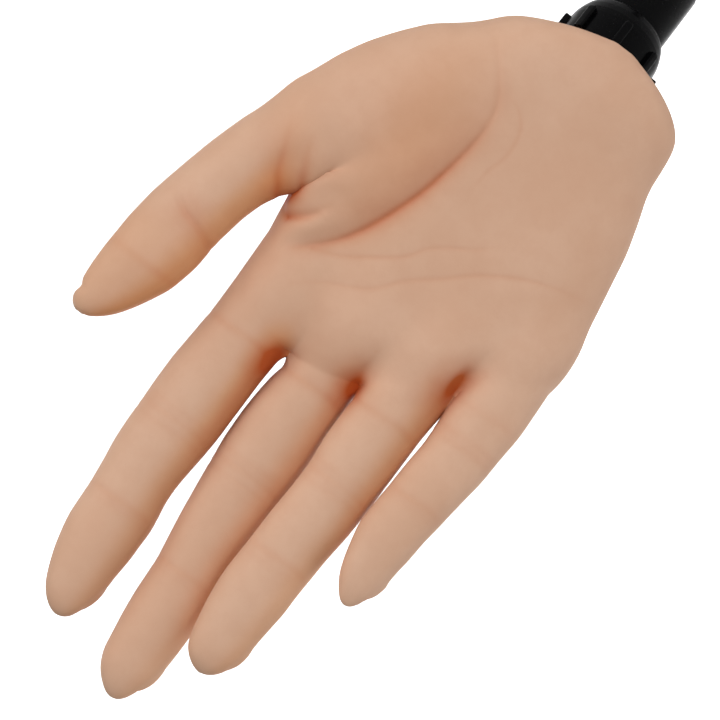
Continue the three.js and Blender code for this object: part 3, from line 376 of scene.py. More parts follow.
def digit_relief(name, x, y, z):
    d = DIGITS[name]
    xc, yc = np.interp(z, d["z"], d["xc"]), np.interp(z, d["z"], d["yc"])
    root, half, turn, pad, deep = NAILS[name]
    dx, dy = x - xc, y - yc
    th = np.arctan2(dx, dy)                         # 0 at the back, + towards the thumb side
    tb = (th - turn * 0.8 + np.pi) % (2 * np.pi) - np.pi
    front = sstep(1.45, 2.2, np.abs(tb))
    back = sstep(1.35, 0.8, np.abs(tb))
    u = np.where(np.abs(tb) > np.pi / 2, np.sign(tb) * (np.pi - np.abs(tb)), tb)   # angle off the middle of either side
    r = np.zeros_like(x)
    for i, (cz, depth, sg) in enumerate(CREASES[name]):
        line = cz + 1.2 * (1 - np.cos(u)) + 0.25 * np.sin(3.1 * u + 1.7 * i)
        r -= depth * gauss(z - line, sg) * front * (0.65 + 0.35 * np.sin(4.0 * u + 2.3 * i + 0.9))
        r -= 0.25 * depth * gauss(z - line, 2.0) * front
    if name == "thumb":
        for pts, depth, sg in THUMB_CREASES:
            dd, s, at = polyline_distance(x, z, pts)
            how = sstep(0, 0.35, at) * front
            r -= (depth * gauss(dd, sg) + 0.35 * depth * gauss(dd, 1.6)) * how
        r -= 0.7 * gauss(z - 113.4, 0.9) * sstep(0.9, 1.3, th) * sstep(2.3, 1.8, th)
        r += 0.35 * bump(x, z, 55.0, 78.5, 3.0, 5.0) * front + 0.3 * bump(x, z, 53.0, 92.5, 3.0, 5.0) * front
    cz = [c[0] for c in KNUCKLES[name]] + [d["tip"] - 8]
    for i, c in enumerate(cz[:-1]):
        mid = (c + cz[i + 1]) / 2
        r += 0.3 * gauss(z - mid, 5.0) * front
    for c, spread in KNUCKLES[name]:
        w = gauss(z - c, spread) * back
        r += 0.5 * w
        lines = np.zeros_like(z)
        for k, off in enumerate((-1.15, -0.7, -0.25, 0.2, 0.62, 1.05)):
            line = c + off * spread * 0.8 - np.sign(off + 0.01) * 0.9 * (1 - np.cos(u * 1.6)) * abs(off)
            lines += (0.7 + 0.3 * np.cos(k * 2.3)) * gauss(z - line, 0.42)
        r -= 0.24 * lines * back * sstep(1.25, 0.7, np.abs(u)) * gauss(z - c, spread * 1.3)
    # nail seat: across its width, out from the back, and signed distance to its outline
    across = dx * np.cos(turn) - dy * np.sin(turn)
    out = dx * np.sin(turn) + dy * np.cos(turn)
    rr = half * 0.8
    qx, qz = np.abs(across) - (half - rr), (root + rr) - z
    sd = np.hypot(np.maximum(qx, 0), np.maximum(qz, 0)) + np.minimum(np.maximum(qx, qz), 0) - rr
    end = pad - out
    side = np.maximum(sd, end)
    m = (z > root - 6) & (out > -3)
    seat = -(0.55 + (deep - 0.55) * sstep(d["tip"] - 9, d["tip"] - 3, z)) * sstep(0.24, -0.24, side)
    seat -= 0.3 * gauss(sd + 0.5, 0.4) * sstep(root + 9, root + 1, z) * (out > pad + 1)
    seat += (0.5 * gauss(sd - 0.75, 0.6) + 0.2 * gauss(sd - 1.9, 1.2)) * sstep(d["tip"] - 1.5, d["tip"] - 7.0, z) * sstep(pad - 1, pad + 2, out)
    if name == "thumb":
        seat *= sstep(116.5, 112.5, z)
    r += np.where(m, seat, 0.0)
    return r


# ------------------------------------------------------------ skin's base form
FINGERS = ("little", "ring", "middle", "index")
CROTCH = (83.5, 91.0, 94.0)            # little/ring, ring/middle, middle/index
WRIST = np.array([2.1, 3.0, -7.3])
ARM_T = np.array([0.0, math.sin(math.radians(26)), -math.cos(math.radians(26))])
RECESS_R, RECESS_TOP = 14.3, -8.4


def smax(a, b, k):
    return -smin(-a, -b, k)


def spread(z):
    """How far each finger is moved sideways while the mesh is made, so that neighbours don't touch"""
    r1, r2, r3 = sstep(76.5, 90, z), sstep(88.5, 101, z), sstep(92.5, 105, z)
    ring, middle = -1.5 * r2, 1.5 * r2
    return ring - 3.0 * r1, ring, middle, middle + 3.0 * r3


def combine(x, y, z, fingers):
    f = smin(palm_distance(x, y, z), digit_distance("thumb", x, y, z), 7.0 - 5.0 * sstep(50, 64, z))
    # the joining grows thin towards the palm's outer corners
    top = np.interp(x, _tx, _tz)
    side = np.clip(sstep(30, 38, x) + sstep(-28, -36, x), 0, 1)
    f = smin(f, fingers, 5.0 - 4.5 * side * sstep(top - 20, top - 4, z))
    # socket for the nut in the wrist's end
    qx, qy, qz = x - WRIST[0], y - WRIST[1], z - WRIST[2]
    s = qy * ARM_T[1] + qz * ARM_T[2]
    r = np.sqrt(np.maximum(qx * qx + qy * qy + qz * qz - s * s, 0))
    f = smax(f, np.minimum(RECESS_R - r, s - RECESS_TOP), 1.4)
    return f


def spread_field(x, y, z):
    f = None
    for n, off in zip(FINGERS, spread(z)):
        d = digit_distance(n, x - off, y, z)
        f = d if f is None else smin(f, d, 0.6)
    return combine(x, y, z, f)


def own_field(x, y, z, own):
    """The hand's distance field in which, above the webs, a point only sees its own finger"""
    f = None
    for i, n in enumerate(FINGERS):
        d = digit_distance(n, x, y, z)
        c = np.where(own < i, np.array(CROTCH + (0,))[np.clip(own, 0, 3)], np.array((0,) + CROTCH)[np.clip(own, 0, 3)])
        d = d + np.where(own == i, 0.0, 7.0 * sstep(c + 1.0, c + 5.0, z))
        f = d if f is None else smin(f, d, 0.6)
    return combine(x, y, z, f)


def gradient(p, own, e=0.04):
    f = own_field(p[:, 0], p[:, 1], p[:, 2], own)
    g = np.empty_like(p)
    for k in range(3):
        q = p.copy()
        q[:, k] += e
        g[:, k] = (own_field(q[:, 0], q[:, 1], q[:, 2], own) - f) / e
    return f, g


def project(p, own, times):
    for _ in range(times):
        f, g = gradient(p, own)
        step = f / np.maximum((g * g).sum(1), 0.05)
        step = np.clip(step, -1.0, 1.0)
        p = p - g * step[:, None]
    return p


def surface_nets(F, low, h):
    nx, ny, nz = F.shape
    shape = (nx - 1, ny - 1, nz - 1)
    count = np.zeros(shape, np.int16)
    total = np.zeros(shape + (3,), np.float32)
    inside = F < 0
    for ax in range(3):
        a = [slice(None)] * 3
        b = [slice(None)] * 3
        a[ax], b[ax] = slice(0, -1), slice(1, None)
        f0, f1 = F[tuple(a)], F[tuple(b)]
        m = inside[tuple(a)] != inside[tuple(b)]
        t = np.where(m, f0 / np.where(m, f0 - f1, 1), 0)
        grid = np.meshgrid(*[np.arange(n, dtype=np.float32) for n in m.shape], indexing="ij")
        pos = [g.astype(np.float32) for g in grid]
        pos[ax] = pos[ax] + t.astype(np.float32)
        others = [k for k in range(3) if k != ax]
        for da in (0, 1):
            for db in (0, 1):
                s = [slice(None)] * 3
                for k, dd in zip(others, (da, db)):
                    s[k] = slice(dd, dd + shape[k])
                s = tuple(s)
                mm = m[s]
                count += mm
                for k in range(3):
                    total[..., k] += np.where(mm, pos[k][s], 0)
    on = count > 0
    index = np.full(shape, -1, np.int64)
    index[on] = np.arange(on.sum())
    verts = low + h * total[on] / count[on][:, None]
    quads = []
    for ax, (u, v) in ((0, (1, 2)), (1, (2, 0)), (2, (0, 1))):
        a = [slice(1, -1)] * 3
        b = [slice(1, -1)] * 3
        a[ax], b[ax] = slice(0, -1), slice(1, None)
        i0, i1 = inside[tuple(a)], inside[tuple(b)]
        where = np.argwhere(i0 != i1)
        where[:, u] += 1
        where[:, v] += 1
        first = i0[i0 != i1]
        corner = []
        for du, dv in ((-1, -1), (0, -1), (0, 0), (-1, 0)):
            c = where.copy()
            c[:, u] += du
            c[:, v] += dv
            corner.append(index[c[:, 0], c[:, 1], c[:, 2]])
        q = np.stack(corner, 1)
        q[~first] = q[~first][:, ::-1]
        quads.append(q)
    return verts.astype(float), np.concatenate(quads)


def edges_of(quads):
    e = np.concatenate([quads[:, [i, (i + 1) % 4]] for i in range(4)])
    e.sort(axis=1)
    return np.unique(e, axis=0)


def relax(p, e, times, share, own):
    n = len(p)
    deg = np.bincount(e.ravel(), minlength=n)[:, None]
    for _ in range(times):
        s = np.zeros_like(p)
        for k in range(3):
            s[:, k] = np.bincount(e[:, 0], p[e[:, 1], k], n) + np.bincount(e[:, 1], p[e[:, 0], k], n)
        d = s / deg - p
        f, g = gradient(p, own)
        nrm = g / np.maximum(np.linalg.norm(g, axis=1), 1e-6)[:, None]
        d -= nrm * (d * nrm).sum(1)[:, None]
        p = p + share * d - nrm * np.clip(f, -0.5, 0.5)[:, None]
    return p


def subdivide(p, quads):
    n = len(p)
    e = np.concatenate([quads[:, [i, (i + 1) % 4]] for i in range(4)])
    e.sort(axis=1)
    u, inv = np.unique(e[:, 0] * n + e[:, 1], return_inverse=True)
    ends = np.stack([u // n, u % n], 1)
    m = len(quads)
    em = [n + inv[i * m:(i + 1) * m] for i in range(4)]
    fc = n + len(u) + np.arange(m)
    pts = np.concatenate([p, p[ends].mean(1), p[quads].mean(1)])
    q = np.concatenate([np.stack([quads[:, i], em[i], fc, em[(i + 3) % 4]], 1) for i in range(4)])
    return pts, q


def vertex_normals(p, quads):
    d1, d2 = p[quads[:, 2]] - p[quads[:, 0]], p[quads[:, 3]] - p[quads[:, 1]]
    fn = np.cross(d1, d2)
    n = np.zeros_like(p)
    for k in range(3):
        for i in range(4):
            n[:, k] += np.bincount(quads[:, i], fn[:, k], len(p))
    return n / np.maximum(np.linalg.norm(n, axis=1), 1e-12)[:, None]


def owner(p):
    off = spread(p[:, 2])
    d = np.stack([digit_distance(n, p[:, 0] - o, p[:, 1], p[:, 2]) for n, o in zip(FINGERS, off)], 1)
    w = np.exp(-np.clip(d - d.min(1)[:, None], 0, 30) / 0.5)
    w /= w.sum(1)[:, None]
    shift = (w * np.stack(off, 1)).sum(1)
    return d.argmin(1), shift


def relief(p, own):
    x, y, z = p.T
    mid = np.interp(np.clip(z, _pz[0], _pz[-1]), _pz, _py) - 0.10 * np.maximum(x - 36, 0)
    thumb = (x - WEB[0]) * 0.75 + (z - WEB[1]) * 0.66       # how far along the thumb
    top = np.interp(x, _tx, _tz)
    fade = np.where((x > 41) & (z > 60) & (thumb > 0), sstep(14, 6, thumb), sstep(top + 4, top - 4, z))
    g = np.zeros(len(x))
    wf = sstep(1.0, 9.0, mid - y) * sstep(-8, 2, z) * fade
    wb = sstep(1.5, 9.0, y - mid) * sstep(4, 16, z) * fade
    m = wf > 0
    g[m] += palm_relief(x[m], z[m]) * wf[m]
    m = wb > 0
    g[m] += back_relief(x[m], z[m]) * wb[m]
    for i, n in enumerate(FINGERS + ("thumb",)):
        lo = {"index": 94, "middle": 93, "ring": 89, "little": 76, "thumb": 66}[n]
        if n == "thumb":
            m = (thumb > 2) & (x > 42)
            w = sstep(2, 10, thumb[m])
        else:
            m = (z > lo) & (own == i) & (x < 42)
            w = sstep(lo, lo + 5, z[m])
        g[m] += digit_relief(n, x[m], y[m], z[m]) * w
    return g


def painted_shade(p, n, own):
    """Painted shade along the skin's creases, in its hollows and on the index finger's and thumb's sides turned away
    from the thumb side, 0 to 1
    """
    x, y, z = p.T
    mid = np.interp(np.clip(z, _pz[0], _pz[-1]), _pz, _py) - 0.10 * np.maximum(x - 36, 0)
    front = sstep(1.0, 7.0, mid - y)
    t = np.zeros(len(p))
    palm = front * sstep(100, 92, z)
    # painted shade along the palm's creases and folds
    for line, parts in PAINTED_LINE_SHADE:
        d, s, at = polyline_distance(x, z, line)
        for width, shift, how in parts:
            t += along(at, how) * gauss(d * s - shift, width) * palm
    # painted shade along the fingers' joint creases
    for i, name in enumerate(FINGERS):
        m = own == i
        for cz, depth, sg in CREASES[name]:
            d = DIGITS[name]
            th = np.arctan2(x - np.interp(z, d["z"], d["xc"]), -(y - np.interp(z, d["z"], d["yc"])))
            line = cz + 1.2 * (1 - np.cos(th)) + 0.25 * np.sin(3.1 * th)
            t += np.where(m, 0.9 * depth * gauss(z - line, 0.8) * sstep(1.5, 0.9, np.abs(th)), 0)
    # painted shade on the index finger's side turned away from the thumb side, beside the middle finger
    t += np.where((own == 3) & (x < 42), 0.4 * sstep(0.3, 0.9, -n[:, 0]) * sstep(94, 99, z) * sstep(140, 112, z), 0)
    # painted shade in the hollows, on surfaces facing the front
    for cx, cz, a, sx, sz, turn in PAINTED_HOLLOW_SHADE:
        t += a * bump(x, z, cx, cz, sx, sz, turn) * sstep(0.35, -0.2, n[:, 1])
    # painted shade along the thumb's crease
    d, s, at = polyline_distance(x, z, THUMB_LINE)
    t += np.where((z > 70) & (x > 44) & (n[:, 1] < 0.1), (0.1 * gauss(d, 0.7) + 0.12 * gauss(d, 2.4)) * sstep(0.1, 0.5, at), 0)
    # painted shade on the end of the thumb where it turns away from the thumb side
    t += np.where((x > 46) & (z > 82), 0.09 * sstep(0.25, 0.85, -n[:, 0] - 0.5 * n[:, 1]) * sstep(82, 92, z), 0)
    return np.clip(t, 0, 1)


def painted_side_shade(p, n, own):
    """Painted orange shade on sides turned away from the thumb side, where the key light stands, 0 to 1"""
    x, y, z = p.T
    side = sstep(0.02, 0.75, -n[:, 0]) * sstep(0.75, 0.3, n[:, 1])
    w = np.zeros(len(p))
    # painted orange shade on each finger's side turned away from the thumb side
    for i, (z0, z1, a, b) in enumerate(((78, 132, 0.05, 0.0), (84, 168, 0.75, 0.4), (90, 184, 0.5, 0.35), (92, 176, 1.0, 0.4))):
        k = np.interp(z, [z0 - 6, z0, z1, z1 + 6], [0, a, b, 0.6 * b])
        w += np.where((own == i) & (x < 42), k * side, 0)
    thumb = (x - WEB[0]) * 0.75 + (z - WEB[1]) * 0.66
    # painted orange shade on the thumb's lower side, turned away from +X
    w += np.where(x > 40, 0.9 * sstep(-3, 4, thumb) * side, 0)
    # painted orange shade in the hollow of the palm beside the thenar crease, and on the ball of the thumb near the web
    front = sstep(0.2, -0.2, n[:, 1])
    w += 0.35 * bump(x, z, 25, 40, 7, 17, 0.1) * front + 0.3 * bump(x, z, 44.5, 62.5, 3.4, 8.0, 0.45) * front
    # painted orange shade on the front of the thumb's end
    w += np.where(x > 46, 0.22 * sstep(84, 98, z) * front, 0)
    return np.clip(w, 0, 1)


def make_hand(h=0.95):
    low = np.array([-48.0, -30.0, -14.0])
    n = np.ceil((np.array([80.0, 30.0, 193.0]) - low) / h).astype(int)
    X, Y, Z = np.meshgrid(*[low[k] + h * np.arange(n[k]) for k in range(3)], indexing="ij")
    F = spread_field(X.ravel(), Y.ravel(), Z.ravel()).reshape(X.shape)
    p, quads = surface_nets(F, low, h)
    own, shift = owner(p)
    p[:, 0] -= shift
    p = project(p, own, 3)
    p = relax(p, edges_of(quads), 6, 0.5, own)
    p, quads = subdivide(p, quads)
    # new points take the finger of their nearest old neighbours
    near = np.full(len(p), -1)
    near[:len(own)] = own
    for i in range(4):
        for j in (0, 1, 3):
            m = near[quads[:, j]] < 0
            near[quads[m, j]] = near[quads[m, 0]] if j else near[quads[m, j]]
    m = near[quads[:, 2]] < 0
    near[quads[m, 2]] = near[quads[m, 0]]
    own = near
    p = project(p, own, 2)
    f, g = gradient(p, own)
    nrm = g / np.maximum(np.linalg.norm(g, axis=1), 1e-6)[:, None]
    r = relief(p, own)
    out = p + nrm * r[:, None]
    normals = vertex_normals(out, quads)
    # shade of hollows: how fast the free distance grows away from the surface
    free = np.zeros(len(p))
    for t, w in ((2.0, 0.35), (4.5, 0.35), (9.0, 0.30)):
        q = out + nrm * t
        d = spread0(q)
        free += w * np.clip(d / t, 0, 1)
    return out, quads, normals, own, free, painted_shade(p, nrm, own), painted_side_shade(p, nrm, own)


def spread0(q):
    f = None
    for n in FINGERS:
        d = digit_distance(n, q[:, 0], q[:, 1], q[:, 2])
        f = d if f is None else np.minimum(f, d)
    f = np.minimum(f, palm_distance(q[:, 0], q[:, 1], q[:, 2]))
    return np.minimum(f, digit_distance("thumb", q[:, 0], q[:, 1], q[:, 2]))


def relative_height(p, normals, e, times):
    """How far each point stands above the smoothed surface round it"""
    n = len(p)
    deg = np.bincount(e.ravel(), minlength=n)[:, None]
    s = p.copy()
    for _ in range(times):
        t = np.zeros_like(s)
        for k in range(3):
            t[:, k] = np.bincount(e[:, 0], s[e[:, 1], k], n) + np.bincount(e[:, 1], s[e[:, 0], k], n)
        s = t / deg
    return ((p - s) * normals).sum(1)


# ---------------------------------------------------------- pieces of the skin
CUTS = {"index": (97.2, 115, 138), "middle": (97.2, 115, 140), "ring": (93.4, 107, 126), "little": (78.7, 87.2, 100.5)}
THUMB_N = np.array([0.75, 0.0, 0.66]) / math.hypot(0.75, 0.66)
THUMB_0 = np.array([41.2, 0.0, 66.6])
THUMB_CUT = 76.0
SEGMENTS = ("proximal", "middle", "distal")


def faces_of(p, quads, own):
    c = p[quads].mean(1)
    o = own[quads[:, 0]]
    piece = np.zeros(len(quads), int)
    names = ["palm"]
    td = digit_distance("thumb", c[:, 0], c[:, 1], c[:, 2])
    pd = palm_distance(c[:, 0], c[:, 1], c[:, 2])
    s = (c - THUMB_0) @ THUMB_N
    thumb = (s > -0.5) & (td < pd) & (c[:, 0] > 39) & ((c[:, 0] > 43) | (c[:, 2] < 74))
    for i, n in enumerate(FINGERS):
        for k in range(3):
            names.append(f"{n}_{SEGMENTS[k]}")
            lo = CUTS[n][k]
            piece[(o == i) & (c[:, 2] > lo) & ~thumb & (c[:, 0] < 42.5)] = len(names) - 1
    names.append("thumb_proximal")
    piece[thumb] = len(names) - 1
    names.append("thumb_distal")
    piece[thumb & (c[:, 2] > THUMB_CUT)] = len(names) - 1
    return gathered(piece, quads), names


def gathered(piece, quads):
    """Small islands of a piece go to the piece round them"""
    e = np.concatenate([quads[:, [i, (i + 1) % 4]] for i in range(4)])
    e.sort(axis=1)
    key = e[:, 0] * (int(quads.max()) + 1) + e[:, 1]
    order = np.argsort(key, kind="stable")
    key, face = key[order], np.tile(np.arange(len(quads)), 4)[order]
    pair = key[1:] == key[:-1]
    a, b = face[:-1][pair], face[1:][pair]
    same = piece[a] == piece[b]
    u, v = a[same], b[same]
    label = np.arange(len(quads))
    while True:
        new = label.copy()
        low = np.minimum(label[u], label[v])
        np.minimum.at(new, label[u], low)
        np.minimum.at(new, label[v], low)
        while (new[new] != new).any():
            new = new[new]
        if (new == label).all():
            break
        label = new
    size = np.bincount(label, minlength=len(label))[label]
    most = np.zeros(piece.max() + 1, int)
    np.maximum.at(most, piece, size)
    small = size < 0.1 * most[piece]
    piece = piece.copy()
    while True:
        moved = 0
        for f, g in ((a, b), (b, a)):
            m = small[f] & ~small[g]
            piece[f[m]] = piece[g[m]]
            small[f[m]] = False
            moved += m.sum()
        if not moved:
            return piece


def loops_of(quads):
    """Closed border loops, in the direction opposite to the faces"""
    e = np.concatenate([quads[:, [i, (i + 1) % 4]] for i in range(4)])
    n = int(e.max()) + 1
    key, back = e[:, 0] * n + e[:, 1], e[:, 1] * n + e[:, 0]
    border = e[~np.isin(key, back)]
    nxt = {}
    for a, b in border:
        nxt.setdefault(int(b), []).append(int(a))
    loops = []
    while nxt:
        first = next(iter(nxt))
        loop, at = [], first
        while at in nxt:
            loop.append(at)
            to = nxt[at].pop()
            if not nxt[at]:
                del nxt[at]
            at = to
        if len(loop) > 2:
            loops.append(loop)
    return loops


def skin_piece(name, p, quads, normals, attrs, inward):
    used = np.unique(quads)
    back = np.full(len(p), -1)
    back[used] = np.arange(len(used))
    q = back[quads]
    v = p[used]
    n = normals[used]
    extra_v, tris, extra_n = [], [], []
    loops = loops_of(q)
    for loop in loops:
        c = v[loop].mean(0)
        middle = v.mean(0) if name != "palm" else np.array([5.0, 0.0, 50.0])
        d = middle - c
        c = c + d / np.linalg.norm(d) * inward
        k = len(v) + len(extra_v)
        extra_v.append(c)
        extra_n.append(-d / np.linalg.norm(d))
        for i in range(len(loop)):
            tris.append((loop[i], loop[(i + 1) % len(loop)], k))
    allv = np.concatenate([v, np.array(extra_v).reshape(-1, 3)]) / 1000 + OFFSET
    alln = np.concatenate([n, np.array(extra_n).reshape(-1, 3)])
    me = bpy.data.meshes.new("skin_" + name)
    nv, nq, nt = len(allv), len(q), len(tris)
    me.vertices.add(nv)
    me.vertices.foreach_set("co", allv.astype(np.float32).ravel())
    me.loops.add(nq * 4 + nt * 3)
    me.loops.foreach_set("vertex_index", np.concatenate([q.ravel(), np.array(tris, int).ravel()]).astype(np.int32))
    me.polygons.add(nq + nt)
    me.polygons.foreach_set("loop_start", np.concatenate([np.arange(nq) * 4, nq * 4 + np.arange(nt) * 3]).astype(np.int32))
    me.polygons.foreach_set("use_smooth", np.ones(nq + nt, bool))
    me.update(calc_edges=True)
    me.validate()
    a = me.attributes.new("rest_co", "FLOAT_VECTOR", "POINT")
    a.data.foreach_set("vector", ((allv - OFFSET) * 1000).astype(np.float32).ravel())
    for key, val in attrs.items():
        a = me.attributes.new(key, "FLOAT", "POINT")
        a.data.foreach_set("value", np.concatenate([val[used], np.full(len(extra_v), 0.5 if key == "free" else 0.0)]).astype(np.float32))
    me.normals_split_custom_set_from_vertices(alln.astype(np.float32))
    ob = bpy.data.objects.new("skin_" + name, me)
    bpy.context.scene.collection.objects.link(ob)
    return ob, len(loops)


# ------------------------------------------------------------------- materials
def srgb(r, g, b):
    f = lambda v: ((v / 255 + 0.055) / 1.055) ** 2.4 if v > 10 else v / 255 / 12.92
    return (f(r), f(g), f(b), 1)


class Nodes:
    def __init__(self, name):
        self.m = bpy.data.materials.new(name)
        self.m.use_nodes = True
        self.t = self.m.node_tree
        self.b = self.t.nodes["Principled BSDF"]

    def new(self, kind, **values):
        n = self.t.nodes.new(kind)
        for k, v in values.items():
            setattr(n, k, v)
        return n

    def link(self, a, b):
        self.t.links.new(a, b)

    def math(self, op, a, b=None, c=None, clamp=False):
        n = self.new("ShaderNodeMath", operation=op, use_clamp=clamp)
        for i, v in enumerate((a, b, c)):
            if v is None:
                continue
            if isinstance(v, (int, float)):
                n.inputs[i].default_value = v
            else:
                self.link(v, n.inputs[i])
        return n.outputs[0]

    def ramp(self, v, lo, hi, a=0.0, b=1.0, smooth=True):
        n = self.new("ShaderNodeMapRange", interpolation_type="SMOOTHSTEP" if smooth else "LINEAR")
        self.link(v, n.inputs["Value"])
        for k, x in zip(("From Min", "From Max", "To Min", "To Max"), (lo, hi, a, b)):
            n.inputs[k].default_value = x
        return n.outputs[0]

    def mix(self, f, a, b, blend="MIX"):
        n = self.new("ShaderNodeMix", data_type="RGBA", blend_type=blend)
        if isinstance(f, (int, float)):
            n.inputs[0].default_value = f
        else:
            self.link(f, n.inputs[0])
        for i, v in ((6, a), (7, b)):
            if isinstance(v, tuple):
                n.inputs[i].default_value = v
            else:
                self.link(v, n.inputs[i])
        return n.outputs[2]

    def attribute(self, name, out="Fac"):
        return self.new("ShaderNodeAttribute", attribute_name=name).outputs[out]

    def noise(self, vec, scale, detail=2.0, rough=0.5, dist=0.0):
        n = self.new("ShaderNodeTexNoise")
        self.link(vec, n.inputs["Vector"])
        n.inputs["Scale"].default_value = scale
        n.inputs["Detail"].default_value = detail
        n.inputs["Roughness"].default_value = rough
        n.inputs["Distortion"].default_value = dist
        return n.outputs[0]

    def bump(self, height, strength, distance):
        n = self.new("ShaderNodeBump")
        n.inputs["Strength"].default_value = strength
        n.inputs["Distance"].default_value = distance
        self.link(height, n.inputs["Height"])
        self.link(n.outputs[0], self.b.inputs["Normal"])

    def set(self, **v):
        for k, x in v.items():
            self.b.inputs[k.replace("_", " ")].default_value = x


def skin_material():
    s = Nodes("Silicone skin")
    co = s.attribute("rest_co", "Vector")
    free = s.attribute("free")
    fine = s.attribute("fine")
    broad = s.attribute("broad")
    n1 = s.noise(co, 0.045, 2, 0.5)
    n2 = s.noise(co, 0.22, 3, 0.6)
    base = s.mix(s.ramp(n1, 0.35, 0.65), srgb(222, 177, 147), srgb(226, 183, 154))
    base = s.mix(s.ramp(n2, 0.35, 0.7, 0, 0.25), base, srgb(216, 166, 136))
    # painted shade: dark orange along the creases, in the hollows and on the index's and thumb's far sides, then a warm
    # orange on the sides turned away from the key light
    base = s.mix(s.attribute("shade_mask"), base, (0.76, 0.29, 0.10, 1), "MULTIPLY")
    base = s.mix(s.attribute("side_shade"), base, (1.0, 0.77, 0.52, 1), "MULTIPLY")
    s.link(base, s.b.inputs["Base Color"])
    s.set(Roughness=0.6)
    s.b.inputs["Specular IOR Level"].default_value = 0.3
    grain = s.noise(co, 2.2, 3, 0.6)
    wide = s.noise(co, 0.6, 2, 0.5)
    hgt = s.math("ADD", s.math("MULTIPLY", grain, 0.5), wide)
    s.bump(hgt, 0.1, 0.0004)
    return s.m


def plain(name, colour, rough, metal=0.0, grain=0.0, scale=400.0, spec=0.5):
    s = Nodes(name)
    co = s.new("ShaderNodeTexCoord").outputs["Object"]
    n = s.noise(co, scale, 3, 0.6)
    dark = tuple(c * 0.86 for c in colour[:3]) + (1,)
    s.link(s.mix(s.ramp(n, 0.35, 0.65), colour, dark), s.b.inputs["Base Color"])
    s.link(s.ramp(n, 0.3, 0.7, rough * 0.9, min(1, rough * 1.12)), s.b.inputs["Roughness"])
    s.set(Metallic=metal)
    s.b.inputs["Specular IOR Level"].default_value = spec
    if grain:
        s.bump(n, grain, 0.0003)
    return s.m


MATERIALS = {
    "nylon": plain("Natural nylon", srgb(225, 220, 204), 0.5),
    "steel": plain("Turned steel", srgb(176, 178, 182), 0.28, 1.0, 0.02, 900),
    "black_plastic": plain("Black plastic", srgb(4, 4, 5), 0.25, 0.0, 0.02, 500, 0.08),
    "black_tube": plain("Satin black tube", srgb(4, 4, 5), 0.25, 0.0, 0.02, 700, 0.08),
    "black_enamel": plain("Black enamel", srgb(12, 12, 13), 0.42, 0.0, 0.2, 900, 0.25),
    "rubber_pad": plain("Black rubber", srgb(30, 30, 30), 0.8, 0.0, 0.1, 600),
}
for part in frame["record"]["subparts"]:
    node = frame["nodes"][part["node"]]
    slot = part["material_slot"]
    if slot in MATERIALS:
        node.data.materials.clear()
        node.data.materials.append(MATERIALS[slot])

# ------------------------------------------------------- connector and stand
MM = OFFSET * 1000
SIN, COS = ARM_T[1], -ARM_T[2]
ORIGIN4 = np.eye(4)
ARM4 = np.eye(4)
ARM4[:3, 0] = (1, 0, 0)
ARM4[:3, 1] = (0, COS, SIN)
ARM4[:3, 2] = (0, -SIN, COS)
ARM4[:3, 3] = WRIST + MM
PIVOT_Z, SCREW_Y, JAW = 47.0, -10.0, 28.0


def moved(frame4, x=0.0, y=0.0, z=0.0):
    f = frame4.copy()
    f[:3, 3] = f[:3, 3] + f[:3, :3] @ np.array([x, y, z])
    return f


def along_x(x, y, z):
    f = np.eye(4)
    f[:3, 0], f[:3, 1], f[:3, 2], f[:3, 3] = (0, 1, 0), (0, 0, 1), (1, 0, 0), (x, y, z)
    return f


def fillet(points, closed, steps=4):
    """Corners (a, b, radius) rounded to arcs"""
    out, n = [], len(points)
    for i, pt in enumerate(points):
        p = np.array(pt[:2], float)
        r = pt[2] if len(pt) > 2 else 0.0
        if r <= 0 or (not closed and i in (0, n - 1)):
            out.append(p)
            continue
        a, b = np.array(points[i - 1][:2], float) - p, np.array(points[(i + 1) % n][:2], float) - p
        la, lb = np.linalg.norm(a), np.linalg.norm(b)
        a, b = a / la, b / lb
        half = math.acos(max(-1, min(1, float(a @ b)))) / 2
        if half > math.pi / 2 - 0.02:
            out.append(p)
            continue
        cut = min(r / math.tan(half), la * 0.48, lb * 0.48)
        r = cut * math.tan(half)
        c = p + (a + b) / np.linalg.norm(a + b) * (r / math.sin(half))
        u, v = p + a * cut - c, p + b * cut - c
        turn = math.atan2(u[0] * v[1] - u[1] * v[0], float(u @ v))
        for k in range(steps + 1):
            t = turn * k / steps
            out.append(c + np.array([u[0] * math.cos(t) - u[1] * math.sin(t), u[0] * math.sin(t) + u[1] * math.cos(t)]))
    return out


def lathe(profile, frame4, n=96, radius=None, closed=None):
    """Profile of (r, z, corner radius) turned about local z; radius(r, z, angle) may shape it further"""
    if closed is None:
        closed = profile[0][0] > 0
    pts = fillet(profile, closed)
    th = np.arange(n) * 2 * math.pi / n
    verts, rings = [], []
    for r, z in pts:
        if r < 1e-6:
            rings.append([len(verts)])
            verts.append((0, 0, z))
            continue
        rr = radius(r, z, th) if radius else np.full(n, r)
        rings.append(list(range(len(verts), len(verts) + n)))
        verts += [(float(q * math.cos(t)), float(q * math.sin(t)), z) for q, t in zip(rr, th)]
    faces = []
    m = len(rings)
    for i in range(m if closed else m - 1):
        a, b = rings[i], rings[(i + 1) % m]
        for k in range(n):
            k2 = (k + 1) % n
            if len(a) == 1 and len(b) == 1:
                continue
            if len(a) == 1:
                faces.append((a[0], b[k2], b[k]))
            elif len(b) == 1:
                faces.append((a[k], a[k2], b[0]))
            else:
                faces.append((a[k], a[k2], b[k2], b[k]))
    v = np.array(verts)
    v = v @ frame4[:3, :3].T + frame4[:3, 3]
    return v, faces


